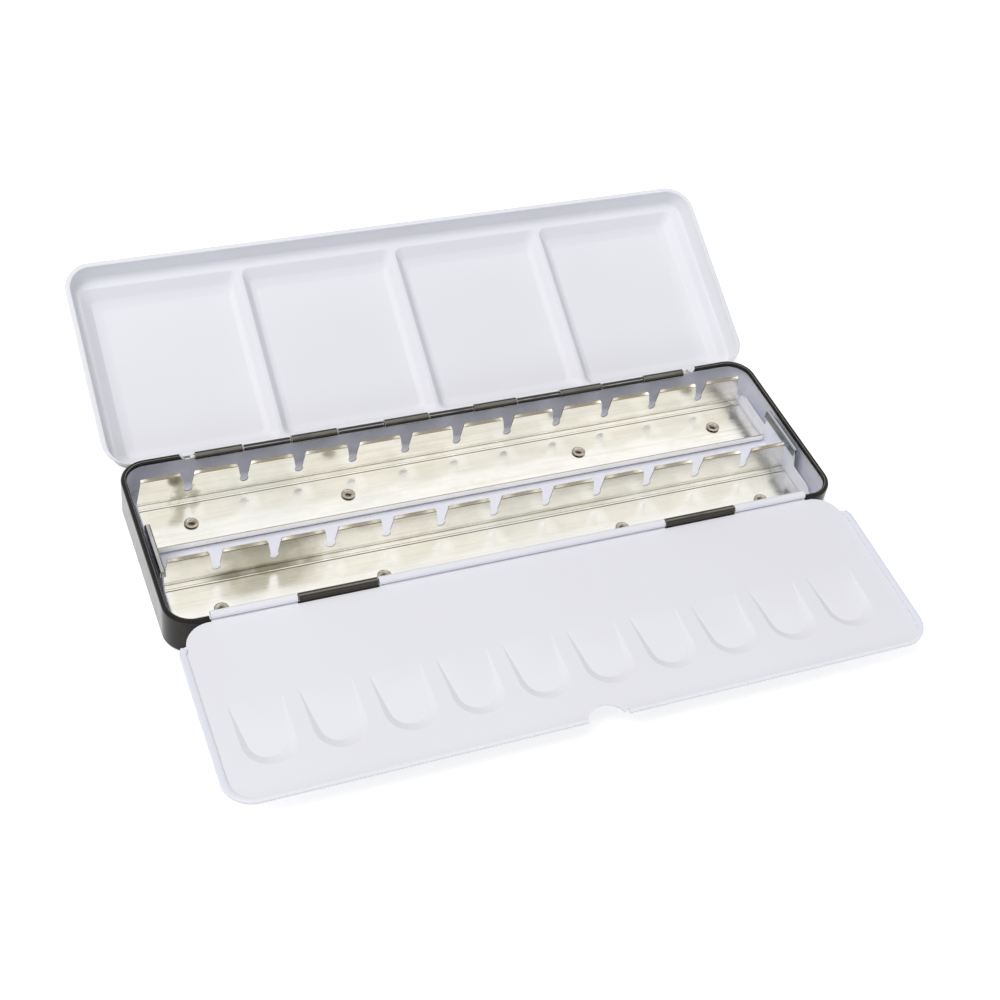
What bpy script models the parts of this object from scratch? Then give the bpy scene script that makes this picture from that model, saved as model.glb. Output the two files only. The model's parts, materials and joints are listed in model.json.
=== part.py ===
"""Models a shallow metal watercolor box with a lift-out insert, a mixing lid and a palette flap.

Lengths are metres. X runs along the box, -Y is its front and +Z is up. The floor of the box is at z = 0.
The lid and the flap stand open, each under an empty on its hinge axis. In their own space Y is the way
out from the rear hinge, -Y the way out from the front hinge, and Z is the side that faces up.
"""
import math

import bmesh
import bpy
from mathutils import Vector

# Gaps and overruns that several pieces share
RUNNING_GAP = 0.0003  # between pieces that turn or slide past each other
SEAT_GAP = 0.0003  # between pieces that rest on each other
OVERRUN = 0.002  # how far a cutter runs past what it cuts
SEAM_STEP = 0.00002  # how far a leaf lies inside the sheet that it runs into

# Facets of round shapes
CORNER_STEPS = 8
BEAD_STEPS = 8
ROUND_STEPS = 24
SCOOP_STEPS = 12

# Base tray
BASE_LENGTH = 0.2150
BASE_DEPTH = 0.0672
BASE_CORNER_RADIUS = 0.0085
BASE_SHEET = 0.00045
BASE_FLOOR_RADIUS = 0.0015
RIM_HEIGHT = 0.0138
RIM_BEAD_RADIUS = 0.0009
HALF_LENGTH = BASE_LENGTH / 2
HALF_DEPTH = BASE_DEPTH / 2

# Hinge tubes, which both hinges share
KNUCKLE_RADIUS = 0.00125
KNUCKLE_SHEET = 0.0004
KNUCKLE_CURL = math.radians(285)
KNUCKLE_SINK = 0.0006  # how far a leaf runs into the sheet that carries it
PIN_RADIUS = 0.0005
PIN_END = 0.0013  # how far a pin stands out of the last knuckle
PIN_TIP_SIDE = 0.0002
PIN_TIP_RISE = 0.0011

# Rear hinge, which carries the lid
REAR_AXIS_INSET = 0.00135  # from the outer face of the rear wall
REAR_AXIS_DROP = 0.0013  # below the top of the rim
REAR_WALL_CLEARANCE = 0.00025  # from the tubes down to the wall
REAR_GAP_INSET = 0.0193  # from the end of the box to the gap in the rim
REAR_GAP_SLANT = 0.0021
REAR_GAP_MARGIN = 0.0024  # from the gap to the first knuckle
REAR_KNUCKLE_COUNT = 11
REAR_AXIS_HEIGHT = RIM_HEIGHT - REAR_AXIS_DROP
REAR_WALL_HEIGHT = REAR_AXIS_HEIGHT - KNUCKLE_RADIUS - REAR_WALL_CLEARANCE
REAR_GAP_TOP_HALF = HALF_LENGTH - REAR_GAP_INSET
REAR_GAP_LOW_HALF = REAR_GAP_TOP_HALF - REAR_GAP_SLANT
REAR_KNUCKLE_PITCH = (REAR_GAP_LOW_HALF - REAR_GAP_MARGIN) * 2 / REAR_KNUCKLE_COUNT
LID_OPEN_ANGLE = math.radians(25.15)

# Front hinge, which carries the flap
FRONT_AXIS_INSET = 0.00135
FRONT_HINGE_INSET = 0.0122  # from the end of the box to the first knuckle
FRONT_END_LENGTH = 0.0253  # flap knuckle at each end
FRONT_BASE_LENGTH = 0.0240  # base knuckle beside it
FRONT_GAP_MARGIN = 0.0004  # from the last knuckle to the rim
FRONT_WALL_CLEARANCE = 0.00045  # from the tubes down to the wall
FRONT_AXIS_HEIGHT = RIM_HEIGHT
FRONT_WALL_HEIGHT = FRONT_AXIS_HEIGHT - KNUCKLE_RADIUS - FRONT_WALL_CLEARANCE
FRONT_HINGE_HALF = HALF_LENGTH - FRONT_HINGE_INSET
FRONT_BASE_OUTER = FRONT_HINGE_HALF - FRONT_END_LENGTH
FRONT_MIDDLE_HALF = FRONT_BASE_OUTER - FRONT_BASE_LENGTH
FLAP_DROOP_ANGLE = math.radians(2.29)

# Lid
LID_SIDE_OVERHANG = 0.0024  # past the end of the box
LID_FRONT_OVERHANG = 0.00475  # past the front of the box, when shut
LID_HALF_LENGTH = HALF_LENGTH + LID_SIDE_OVERHANG
LID_REACH = BASE_DEPTH - REAR_AXIS_INSET + LID_FRONT_OVERHANG  # from the hinge axis
LID_SHEET = 0.00045
LID_REAR_FACE = 0.00125  # from the hinge axis
LID_CORNER_RADIUS = 0.0077
LID_BEAD_RADIUS = 0.0006
LID_BEAD_OUT = 0.00125  # how far the bead stands out of the wall
LID_BEAD_DROP = 0.00235  # below the hinge axis
LID_LEDGE_DROP = 0.0070
LID_WALL_DRAFT = 0.0012
LID_REAR_DRAFT_SHARE = 0.5
LID_LEDGE_RADIUS = 0.0010
LID_LEAF_DROP = 0.0009

# Mixing wells of the lid
WELL_COUNT = 4
WELL_END_MARGIN = 0.0054
WELL_CREST = 0.0010  # of the ridge between neighbours
WELL_REAR = 0.0038
WELL_FAR_MARGIN = 0.0066
WELL_SHIFT = -0.0011
WELL_PITCH = ((LID_HALF_LENGTH - WELL_END_MARGIN) * 2 + WELL_CREST) / WELL_COUNT
WELL_WIDTH = WELL_PITCH - WELL_CREST
WELL_FAR = LID_REACH - WELL_FAR_MARGIN
WELL_DEPTH = 0.0030
WELL_OUTER_SLOPE = 0.0069  # run of the far side and of the lid's two ends
WELL_INNER_SLOPE = 0.0044  # run of the other sides
WELL_CORNER_RADIUS = 0.0026
WELL_FLOOR_RADIUS = 0.0015
WELL_LIP = 0.0002
# Down the side of a well, as shares of its slope and its depth
WELL_SIDE_SHARES = ((0.03, 0.05), (0.5, 0.74), (0.72, 0.9), (1.0, 1.0))

# Palette flap
FLAP_SIDE_INSET = 0.0006  # from the end of the box
FLAP_LID_GAP = 0.0005  # to the lid's rear wall, when both are shut
FLAP_HINGE_NARROWING = 0.0026  # at each side, beside the hinge
FLAP_CORNER_RADIUS = 0.0085
FLAP_HINGE_RADIUS = 0.0080
FLAP_HALF_LENGTH = HALF_LENGTH - FLAP_SIDE_INSET
FLAP_REACH = BASE_DEPTH - FRONT_AXIS_INSET - REAR_AXIS_INSET - LID_REAR_FACE - LID_SHEET - FLAP_LID_GAP
FLAP_HINGE_HALF = FLAP_HALF_LENGTH - FLAP_HINGE_NARROWING
FLAP_HEM_START = 0.0090
FLAP_HEM_SLOPE = 0.0020
FLAP_SHOULDER_START = 0.0017
HEM_WIDTH = 0.0015
HEM_HEIGHT = 0.00055
HEM_PROUD = 0.00005
# Across the hem, as shares of its width and of its height over the plate
HEM_SHARES = ((0.0, 0.45), (0.08, 0.82), (0.25, 1.0), (0.72, 1.0), (0.92, 0.8), (1.0, 0.3))
NOTCH_HALF_WIDTH = 0.0058
NOTCH_DEPTH = 0.0046
NOTCH_SHIFT = 0.0002
NOTCH_STEPS = 10

# Thumb wells of the flap
SCOOP_COUNT = 10
SCOOP_END_MARGIN = 0.0077
SCOOP_SHIFT = -0.0018
SCOOP_RIDGE = 0.00464  # between neighbours
SCOOP_FRONT_MARGIN = 0.0105
SCOOP_LENGTH = 0.0223
SCOOP_DEPTH = 0.0017
SCOOP_PITCH = (FLAP_HALF_LENGTH - SCOOP_END_MARGIN) * 2 / SCOOP_COUNT
SCOOP_HALF_WIDTH = (SCOOP_PITCH - SCOOP_RIDGE) / 2
SCOOP_FRONT = FLAP_REACH - SCOOP_FRONT_MARGIN
SCOOP_FADE = SCOOP_FRONT - SCOOP_LENGTH
SCOOP_SLOPE = 0.0021  # at the deep end
SCOOP_LIP = 0.0003
SCOOP_TAIL = 0.0020  # how far the shape runs on past where it fades out
SCOOP_TAIL_SHARE = 0.05  # of the slope, where the well has faded out
# Down the side of a thumb well, as shares of its slope and its depth
SCOOP_SIDE_SHARES = ((0.06, 0.03), (0.88, 0.93), (1.0, 1.0))

# Insert tray
INSERT_SHEET = 0.00035
INSERT_END_GAP = 0.00345  # to the end of the box, clear of the rolled rim
INSERT_SIDE_GAP = 0.0004  # to the knuckles
INSERT_CORNER_RADIUS = 0.0060
FLANGE_REAR_MARGIN = 0.0051
FLANGE_FRONT_MARGIN = 0.0046
FLANGE_SIDE_HEIGHT = 0.00075  # of the straight side below its round corner
TONGUE_REAR = 0.0068
TONGUE_FRONT = 0.0115
TONGUE_SLANT = 0.0016  # of its front edge
TONGUE_TOP_DROP = 0.0017  # below the top of the rim
TONGUE_RISE = 0.0056
TONGUE_FILLET = 0.0012
INSERT_BOTTOM = BASE_SHEET + SEAT_GAP
INSERT_HALF_LENGTH = HALF_LENGTH - INSERT_END_GAP
INSERT_HALF_DEPTH = HALF_DEPTH - REAR_AXIS_INSET - KNUCKLE_RADIUS - INSERT_SIDE_GAP
FLANGE_REAR = INSERT_HALF_DEPTH - FLANGE_REAR_MARGIN
FLANGE_FRONT = INSERT_HALF_DEPTH - FLANGE_FRONT_MARGIN
TONGUE_TOP = RIM_HEIGHT - TONGUE_TOP_DROP
FLANGE_TOP = TONGUE_TOP - TONGUE_RISE
FLANGE_CORNER_RADIUS = FLANGE_TOP - INSERT_BOTTOM - FLANGE_SIDE_HEIGHT

# Grips over the tongues
GRIP_SHEET = 0.0004
GRIP_HEIGHT = 0.0024
GRIP_OVERHANG = 0.0006
GRIP_CORNER_RADIUS = 0.0007

# Pan rails
RAIL_SHEET = 0.00035
RAIL_END_GAP = 0.0004
RAIL_TAPER = 0.0017
RAIL_TAPER_RISE = 0.0012  # from the rail's floor to where the taper starts
RAIL_TOP_DROP = 0.0008  # below the top of the rim
RAIL_DEPTH = 0.0199  # from the lip to the wall
RAIL_LIP_HEIGHT = 0.0024
RAIL_LIP_LEAN = 0.0003
RAIL_FOLD = 0.0007
RAIL_RIB_WIDTH = 0.0011
RAIL_RIB_HEIGHT = 0.0006
RAIL_FLARE = 0.0010
RAIL_FLARE_HEIGHT = 0.0013
RAIL_LEAN = 0.0002
REAR_RAIL_INSET = 0.0054  # from the insert's rear edge to the wall
FRONT_RAIL_INSET = 0.0023  # from the insert's front edge to the lip
RAIL_HALF_LENGTH = INSERT_HALF_LENGTH - INSERT_SHEET - RAIL_END_GAP
RAIL_BOTTOM = INSERT_BOTTOM + INSERT_SHEET + SEAT_GAP
RAIL_TOP = RIM_HEIGHT - RAIL_TOP_DROP
RAIL_TAPER_START = RAIL_BOTTOM + RAIL_SHEET + RAIL_TAPER_RISE
REAR_RAIL_WALL = INSERT_HALF_DEPTH - REAR_RAIL_INSET
FRONT_RAIL_WALL = RAIL_DEPTH + FRONT_RAIL_INSET - INSERT_HALF_DEPTH

# Slots between the tabs of a rail
SLOT_COUNT = 11
SLOT_END_TAB = 0.0159  # from the rail's end to the middle of the first slot
SLOT_FOOT = 0.0037  # from the rail's floor to the slot
SLOT_MOUTH_HALF = 0.0023
SLOT_TOP_HALF = 0.0019  # below the flare
SLOT_NECK_HALF = 0.00115
SLOT_BULB_RADIUS = 0.00135
SLOT_NECK_RISE = 0.0024
SLOT_BULB_STEPS = 10
SLOT_PITCH = (RAIL_HALF_LENGTH - SLOT_END_TAB) * 2 / (SLOT_COUNT - 1)
SLOT_BOTTOM = RAIL_BOTTOM + RAIL_SHEET + SLOT_FOOT
SLOT_NECK_HEIGHT = SLOT_BOTTOM + SLOT_NECK_RISE

# Rivets
RIVET_END_INSET = 0.0143  # from the rail's end
RIVET_SPACING = 0.0496  # from the outer rivet to its neighbour
REAR_RIVET_SETBACK = 0.0104  # from the rail's wall
FRONT_RIVET_SETBACK = 0.0123
RIVET_SHANK_RADIUS = 0.0011
RIVET_BORE_RADIUS = 0.0006
RIVET_HEAD_RADIUS = 0.0022
RIVET_HEAD_HEIGHT = 0.00045

# What follows from the sizes above
REAR_AXIS = Vector((0, HALF_DEPTH - REAR_AXIS_INSET, REAR_AXIS_HEIGHT))
FRONT_AXIS = Vector((0, -HALF_DEPTH + FRONT_AXIS_INSET, FRONT_AXIS_HEIGHT))
KNUCKLE_BORE = KNUCKLE_RADIUS - KNUCKLE_SHEET
FLAP_TOP = -KNUCKLE_BORE + SEAM_STEP
FLAP_BOTTOM = -KNUCKLE_RADIUS - SEAM_STEP
FLAP_START = KNUCKLE_RADIUS + RUNNING_GAP
RIVET_HOLE_RADIUS = RIVET_SHANK_RADIUS + RUNNING_GAP
RIVET_HEAD_SEAT = RAIL_BOTTOM + RAIL_SHEET + SEAT_GAP

# Finishes: colour, roughness, metallic
BLACK_LACQUER = ("black_lacquer", (0.020, 0.020, 0.018, 1.0), 0.25, 0.0)
WHITE_ENAMEL = ("white_enamel", (0.80, 0.81, 0.85, 1.0), 0.25, 0.0)
WHITE_TRAY = ("white_tray", (0.78, 0.79, 0.84, 1.0), 0.30, 0.0)
TINPLATE = ("tinplate", (0.80, 0.78, 0.70, 1.0), 0.22, 1.0)
GRIP_STEEL = ("grip_steel", (0.72, 0.72, 0.70, 1.0), 0.20, 1.0)
RIVET_STEEL = ("rivet_steel", (0.50, 0.48, 0.44, 1.0), 0.30, 1.0)
PIN_STEEL = ("pin_steel", (0.45, 0.44, 0.42, 1.0), 0.30, 1.0)


def clear_scene():
    """Removes every object of the open file."""
    for item in list(bpy.data.objects):
        bpy.data.objects.remove(item)


def material(finish):
    """Returns the Principled material of a finish, made once."""
    name, colour, roughness, metallic = finish
    if name in bpy.data.materials:
        return bpy.data.materials[name]
    made = bpy.data.materials.new(name)
    made.use_nodes = True
    shader = made.node_tree.nodes["Principled BSDF"]
    shader.inputs["Base Color"].default_value = colour
    shader.inputs["Roughness"].default_value = roughness
    shader.inputs["Metallic"].default_value = metallic
    made.diffuse_color = colour
    return made


def add_object(name, shape, parent=None):
    """Turns a bmesh into a named object, under an empty where one is given."""
    bmesh.ops.recalc_face_normals(shape, faces=shape.faces)
    mesh = bpy.data.meshes.new(name)
    shape.to_mesh(mesh)
    shape.free()
    made = bpy.data.objects.new(name, mesh)
    made.parent = parent
    bpy.context.scene.collection.objects.link(made)
    return made


def finish_object(made, finish, sharp_angle=math.radians(35)):
    """Gives an object its material and its smooth shading."""
    made.data.materials.append(material(finish))
    made.data.shade_smooth()
    made.data.set_sharp_from_angle(angle=sharp_angle)
    return made


def add_empty(name, place, turn=0.0):
    """Adds an empty on a joint's axis, turned about X."""
    empty = bpy.data.objects.new(name, None)
    empty.location = place
    empty.rotation_euler = (turn, 0, 0)
    bpy.context.scene.collection.objects.link(empty)
    return empty


def combine(target, name, shape, operation):
    """Joins a helper shape to an object, or cuts it out, with an exact Boolean."""
    helper = add_object(name, shape, target.parent)
    helper.hide_render = True
    helper.display_type = "WIRE"
    modifier = target.modifiers.new(name, "BOOLEAN")
    modifier.operation = operation
    modifier.solver = "EXACT"
    modifier.object = helper
    return helper


def add_loft(shape, rings):
    """Adds a closed solid through rings of points, with a cap on the first and the last."""
    loops = [[shape.verts.new(point) for point in ring] for ring in rings]
    count = len(loops[0])
    for low, high in zip(loops, loops[1:]):
        for index in range(count):
            after = (index + 1) % count
            shape.faces.new((low[index], low[after], high[after], high[index]))
    shape.faces.new(list(reversed(loops[0])))
    shape.faces.new(loops[-1])


def add_prism(shape, outline, start, end, place):
    """Adds an outline that runs straight from start to end; place turns its three values into a point."""
    add_loft(shape, [[place(along, *point) for point in outline] for along in (start, end)])


def along_x(along, across, height):
    """Places an outline of Y and Z values along X."""
    return Vector((along, across, height))


def along_y(along, across, height):
    """Places an outline of X and Z values along Y."""
    return Vector((across, along, height))


def along_z(along, across, outward):
    """Places an outline of X and Y values along Z."""
    return Vector((across, outward, along))


def arc(centre, radius, start, end, steps):
    """Returns points on an arc, from the start angle to the end angle."""
    points = []
    for step in range(steps + 1):
        angle = start + (end - start) * step / steps
        points.append((centre[0] + radius * math.cos(angle), centre[1] + radius * math.sin(angle)))
    return points


def rounded_rectangle(x_low, x_high, y_low, y_high, radius, height):
    """Returns the ring of a rectangle with round corners, at one height."""
    corners = (
        (x_high - radius, y_high - radius),
        (x_low + radius, y_high - radius),
        (x_low + radius, y_low + radius),
        (x_high - radius, y_low + radius),
    )
    ring = []
    for index, centre in enumerate(corners):
        start = index * math.pi / 2
        for across, outward in arc(centre, radius, start, start + math.pi / 2, CORNER_STEPS):
            ring.append(Vector((across, outward, height)))
    return ring


def sheet_outline(path, thickness):
    """Returns the outline of a bent sheet, half its thickness to each side of a path."""
    points = [Vector(point) for point in path]
    left, right = [], []
    for index, point in enumerate(points):
        before = points[max(index - 1, 0)]
        after = points[min(index + 1, len(points) - 1)]
        run_in = (point - before).normalized() if index > 0 else (after - point).normalized()
        run_out = (after - point).normalized() if index < len(points) - 1 else run_in
        mean = (run_in + run_out).normalized()
        side = Vector((-mean.y, mean.x)) * (thickness / 2 / mean.dot(run_in))
        left.append(tuple(point + side))
        right.append(tuple(point - side))
    return left + right[::-1]


def knuckle_outline(leaf):
    """Returns the outline of a rolled hinge tube about (0, 0), whose leaf hangs down on its + side.

    leaf holds the points of the leaf's outer face and then its inner face, from the tube and back.
    """
    outer = arc((0, 0), KNUCKLE_RADIUS, 0, KNUCKLE_CURL, ROUND_STEPS)
    inner = arc((0, 0), KNUCKLE_BORE, KNUCKLE_CURL, 0, ROUND_STEPS)
    return outer + inner + leaf


def straight_leaf(drop):
    """Returns the end of a leaf that hangs straight down from its tube."""
    return [(KNUCKLE_BORE, -drop), (KNUCKLE_RADIUS, -drop)]


def rear_knuckle_spans(lid_side):
    """Returns the start and end of each rear knuckle of the lid, or of the base."""
    spans = []
    for index in range(REAR_KNUCKLE_COUNT):
        if (index % 2 == 1) != lid_side:
            continue
        middle = (index - (REAR_KNUCKLE_COUNT - 1) / 2) * REAR_KNUCKLE_PITCH
        half = (REAR_KNUCKLE_PITCH - RUNNING_GAP) / 2
        spans.append((middle - half, middle + half))
    return spans


def base_rings():
    """Returns the rings of the tray, up its outside, over the rolled rim and down its inside."""

    def ring(inset, height):
        return rounded_rectangle(
            -HALF_LENGTH + inset,
            HALF_LENGTH - inset,
            -HALF_DEPTH + inset,
            HALF_DEPTH - inset,
            BASE_CORNER_RADIUS - inset,
            height,
        )

    rings = []
    outer_centre = (BASE_FLOOR_RADIUS, BASE_FLOOR_RADIUS)
    for inset, height in arc(outer_centre, BASE_FLOOR_RADIUS, -math.pi / 2, -math.pi, 3):
        rings.append(ring(inset, height))
    bead_centre = (RIM_BEAD_RADIUS, RIM_HEIGHT - RIM_BEAD_RADIUS)
    meet = math.acos((BASE_SHEET - RIM_BEAD_RADIUS) / RIM_BEAD_RADIUS)
    for inset, height in arc(bead_centre, RIM_BEAD_RADIUS, math.pi, -meet, BEAD_STEPS):
        rings.append(ring(inset, height))
    inner_radius = BASE_FLOOR_RADIUS - BASE_SHEET
    for inset, height in arc(outer_centre, inner_radius, -math.pi, -math.pi / 2, 3):
        rings.append(ring(inset, height))
    return rings


def add_rim_gap(shape, side, top_half, low_half, floor):
    """Adds the cutter that opens the rim for a hinge, with slanted ends."""
    inner = HALF_DEPTH - RIM_BEAD_RADIUS * 2 - OVERRUN
    outer = HALF_DEPTH + OVERRUN
    rise = RIM_HEIGHT - floor
    flare = (top_half - low_half) * (rise + OVERRUN) / rise
    outline = (
        (-low_half, floor),
        (low_half, floor),
        (low_half + flare, RIM_HEIGHT + OVERRUN),
        (-low_half - flare, RIM_HEIGHT + OVERRUN),
    )
    add_prism(shape, outline, side * inner, side * outer, along_y)


def build_base():
    """Builds the tray with its rolled rim and its knuckles of both hinges."""
    shape = bmesh.new()
    add_loft(shape, base_rings())
    base = add_object("base_tray", shape)

    gaps = bmesh.new()
    add_rim_gap(gaps, 1, REAR_GAP_TOP_HALF, REAR_GAP_LOW_HALF, REAR_WALL_HEIGHT)
    front_half = FRONT_HINGE_HALF + FRONT_GAP_MARGIN
    add_rim_gap(gaps, -1, front_half, front_half, FRONT_WALL_HEIGHT)
    combine(base, "base_rim_gaps", gaps, "DIFFERENCE")

    knuckles = bmesh.new()
    rear_leaf = straight_leaf(REAR_AXIS_HEIGHT - REAR_WALL_HEIGHT + KNUCKLE_SINK)
    rear = [(REAR_AXIS.y + p, REAR_AXIS.z + q) for p, q in knuckle_outline(rear_leaf)]
    for start, end in rear_knuckle_spans(lid_side=False):
        add_prism(knuckles, rear, start, end, along_x)
    front_leaf = straight_leaf(FRONT_AXIS_HEIGHT - FRONT_WALL_HEIGHT + KNUCKLE_SINK)
    front = [(FRONT_AXIS.y - p, FRONT_AXIS.z + q) for p, q in knuckle_outline(front_leaf)]
    for side in (-1, 1):
        start = side * (FRONT_MIDDLE_HALF + RUNNING_GAP)
        add_prism(knuckles, front, start, side * FRONT_BASE_OUTER, along_x)
    combine(base, "base_knuckles", knuckles, "UNION")
    return finish_object(base, BLACK_LACQUER)


def lid_ring(height, out=0.0, draft=0.0, inset=0.0):
    """Returns a ring of the lid; the bead's way out leaves the rear side as it is."""
    half_length = LID_HALF_LENGTH - LID_BEAD_OUT + out - draft - inset
    far = LID_REACH - LID_BEAD_OUT + out - draft - inset
    near = LID_REAR_FACE + draft * LID_REAR_DRAFT_SHARE + inset
    radius = LID_CORNER_RADIUS + out - draft - inset
    return rounded_rectangle(-half_length, half_length, near, far, radius, height)


def lid_rings():
    """Returns the rings of the lid from its outer ledge, over the bead and down to the inner ledge."""
    outer_centre = (LID_LEDGE_RADIUS, -LID_LEDGE_DROP - LID_SHEET + LID_LEDGE_RADIUS)
    bead_centre = (LID_BEAD_OUT - LID_BEAD_RADIUS, -LID_BEAD_DROP)
    bead_start, bead_end = math.radians(-75), math.radians(80)
    rim = -LID_BEAD_DROP + LID_BEAD_RADIUS
    wall_top = -LID_BEAD_DROP - LID_BEAD_RADIUS - LID_SHEET / 2
    rings = []
    for inset, height in arc(outer_centre, LID_LEDGE_RADIUS, -math.pi / 2, -math.pi, 3):
        rings.append(lid_ring(height, draft=LID_WALL_DRAFT, inset=inset))
    rings.append(lid_ring(wall_top))
    for out, height in arc(bead_centre, LID_BEAD_RADIUS, bead_start, bead_end, BEAD_STEPS):
        rings.append(lid_ring(height, out=out))
    rings.append(lid_ring(rim, inset=LID_SHEET / 2))
    rings.append(lid_ring(rim - LID_SHEET / 2, inset=LID_SHEET))
    rings.append(lid_ring(wall_top, inset=LID_SHEET))
    inner_centre = (LID_SHEET + LID_LEDGE_RADIUS, -LID_LEDGE_DROP + LID_LEDGE_RADIUS)
    for inset, height in arc(inner_centre, LID_LEDGE_RADIUS, math.pi, math.pi * 3 / 2, 3):
        rings.append(lid_ring(height, draft=LID_WALL_DRAFT, inset=inset))
    return rings


def add_well(shape, index, sheet):
    """Adds the space of one mixing well, or its outside where a sheet thickness is given."""
    middle = WELL_SHIFT + (index - (WELL_COUNT - 1) / 2) * WELL_PITCH
    left_slope = WELL_OUTER_SLOPE if index == 0 else WELL_INNER_SLOPE
    right_slope = WELL_OUTER_SLOPE if index == WELL_COUNT - 1 else WELL_INNER_SLOPE

    def ring(share, grow, height):
        return rounded_rectangle(
            middle - WELL_WIDTH / 2 + left_slope * share - grow,
            middle + WELL_WIDTH / 2 - right_slope * share + grow,
            WELL_REAR + WELL_INNER_SLOPE * share - grow,
            WELL_FAR - WELL_OUTER_SLOPE * share + grow,
            WELL_CORNER_RADIUS + (WELL_FLOOR_RADIUS - WELL_CORNER_RADIUS) * share + grow,
            height,
        )

    if sheet:
        rings = [ring(0, sheet, -LID_LEDGE_DROP - sheet / 2)]
    else:
        rings = [ring(0, WELL_LIP * 2, -LID_LEDGE_DROP + WELL_LIP)]
    for slope_share, depth_share in WELL_SIDE_SHARES:
        height = -LID_LEDGE_DROP - WELL_DEPTH * depth_share - sheet
        rings.append(ring(slope_share, sheet * (1 - slope_share), height))
    add_loft(shape, rings)


def build_lid(hinge):
    """Builds the lid with its mixing wells, its bead and its knuckles."""
    shape = bmesh.new()
    add_loft(shape, lid_rings())
    lid = add_object("lid", shape, hinge)

    added = bmesh.new()
    for index in range(WELL_COUNT):
        add_well(added, index, LID_SHEET)
    rim = -LID_BEAD_DROP + LID_BEAD_RADIUS
    leaf = [
        (KNUCKLE_BORE, -LID_LEAF_DROP),
        (LID_REAR_FACE + SEAM_STEP, rim - KNUCKLE_SINK),
        (LID_REAR_FACE + LID_SHEET - SEAM_STEP, rim - KNUCKLE_SINK),
        (KNUCKLE_RADIUS, -LID_LEAF_DROP + KNUCKLE_SHEET / 2),
    ]
    for start, end in rear_knuckle_spans(lid_side=True):
        add_prism(added, knuckle_outline(leaf), start, end, along_x)
    combine(lid, "lid_well_backs_and_knuckles", added, "UNION")

    wells = bmesh.new()
    for index in range(WELL_COUNT):
        add_well(wells, index, 0)
    combine(lid, "lid_wells", wells, "DIFFERENCE")
    return finish_object(lid, WHITE_ENAMEL)


def flap_edge(inset):
    """Returns the flap's free edge from the hem's start round to the notch, as X and reach values."""
    half = FLAP_HALF_LENGTH - inset
    reach = FLAP_REACH - inset
    radius = FLAP_CORNER_RADIUS - inset
    points = [(half - FLAP_HEM_SLOPE / 2, FLAP_HEM_START), (half, FLAP_HEM_START + FLAP_HEM_SLOPE)]
    points += arc((half - radius, reach - radius), radius, 0, math.pi / 2, CORNER_STEPS)
    return points


def notch_arc(inset):
    """Returns the notch in the flap's free edge, from its +X end to its -X end."""
    radius = (NOTCH_HALF_WIDTH**2 + NOTCH_DEPTH**2) / (2 * NOTCH_DEPTH)
    spread = math.asin(NOTCH_HALF_WIDTH / radius)
    centre = (NOTCH_SHIFT, FLAP_REACH - inset + radius - NOTCH_DEPTH)
    return arc(centre, radius, -math.pi / 2 + spread, -math.pi / 2 - spread, NOTCH_STEPS)


def flap_outline():
    """Returns the outline of the flap's plate, as X and reach values."""
    shoulder = arc(
        (FLAP_HINGE_HALF - FLAP_HINGE_RADIUS, FLAP_SHOULDER_START + FLAP_HINGE_RADIUS),
        FLAP_HINGE_RADIUS,
        -math.pi / 2,
        -HEM_PROUD / FLAP_HINGE_RADIUS,
        CORNER_STEPS,
    )
    shoulder = [point for point in shoulder if point[1] < FLAP_HEM_START]
    start = [(FRONT_HINGE_HALF, FLAP_START), (FRONT_HINGE_HALF, FLAP_SHOULDER_START)]
    right = start + shoulder + flap_edge(HEM_PROUD)
    left = [(-across, reach) for across, reach in reversed(right)]
    return right + notch_arc(HEM_PROUD) + left


def add_hem(shape, side):
    """Adds the folded hem of one half of the flap, swept along its free edge."""
    path = [Vector(point) for point in flap_edge(0)]
    path.append(Vector((side * NOTCH_SHIFT + NOTCH_HALF_WIDTH, FLAP_REACH)))
    rings = []
    for index, point in enumerate(path):
        run_in = (point - path[index - 1]).normalized() if index > 0 else (path[1] - point).normalized()
        run_out = (path[index + 1] - point).normalized() if index < len(path) - 1 else run_in
        mean = (run_in + run_out).normalized()
        inward = Vector((-mean.y, mean.x)) / mean.dot(run_in)
        ring = []
        for width_share, height_share in ((0.0, -0.5),) + HEM_SHARES + ((1.0, -0.5),):
            spot = point + inward * HEM_WIDTH * width_share
            base = FLAP_TOP + HEM_HEIGHT * height_share
            if height_share < 0:
                base = (FLAP_TOP + FLAP_BOTTOM) / 2
            ring.append(Vector((side * spot.x, -spot.y, base)))
        rings.append(ring)
    add_loft(shape, rings)


def scoop_share(reach):
    """Returns how deep a thumb well is at a reach, as a share of its depth."""
    return (reach - SCOOP_FADE) / (SCOOP_FRONT - SCOOP_FADE)


def scoop_ring(middle, slope_share, grow, height_at):
    """Returns a ring round a thumb well, whose slope narrows and whose height rises as it fades out."""
    half = SCOOP_HALF_WIDTH
    centre = SCOOP_FRONT - half
    back = SCOOP_FADE - SCOOP_TAIL
    outline = arc((0, centre), half, 0, math.pi, SCOOP_STEPS)
    outline += [(-half, (centre + back) / 2), (-half, back), (half, back), (half, (centre + back) / 2)]
    ring = []
    for across, reach in outline:
        slope = SCOOP_SLOPE * max(scoop_share(reach), SCOOP_TAIL_SHARE)
        outward = Vector((across, max(reach - centre, 0))).normalized()
        spot = Vector((across, reach)) + outward * (grow - slope * slope_share)
        ring.append(Vector((middle + spot.x, -spot.y, height_at(spot.y))))
    return ring


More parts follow.
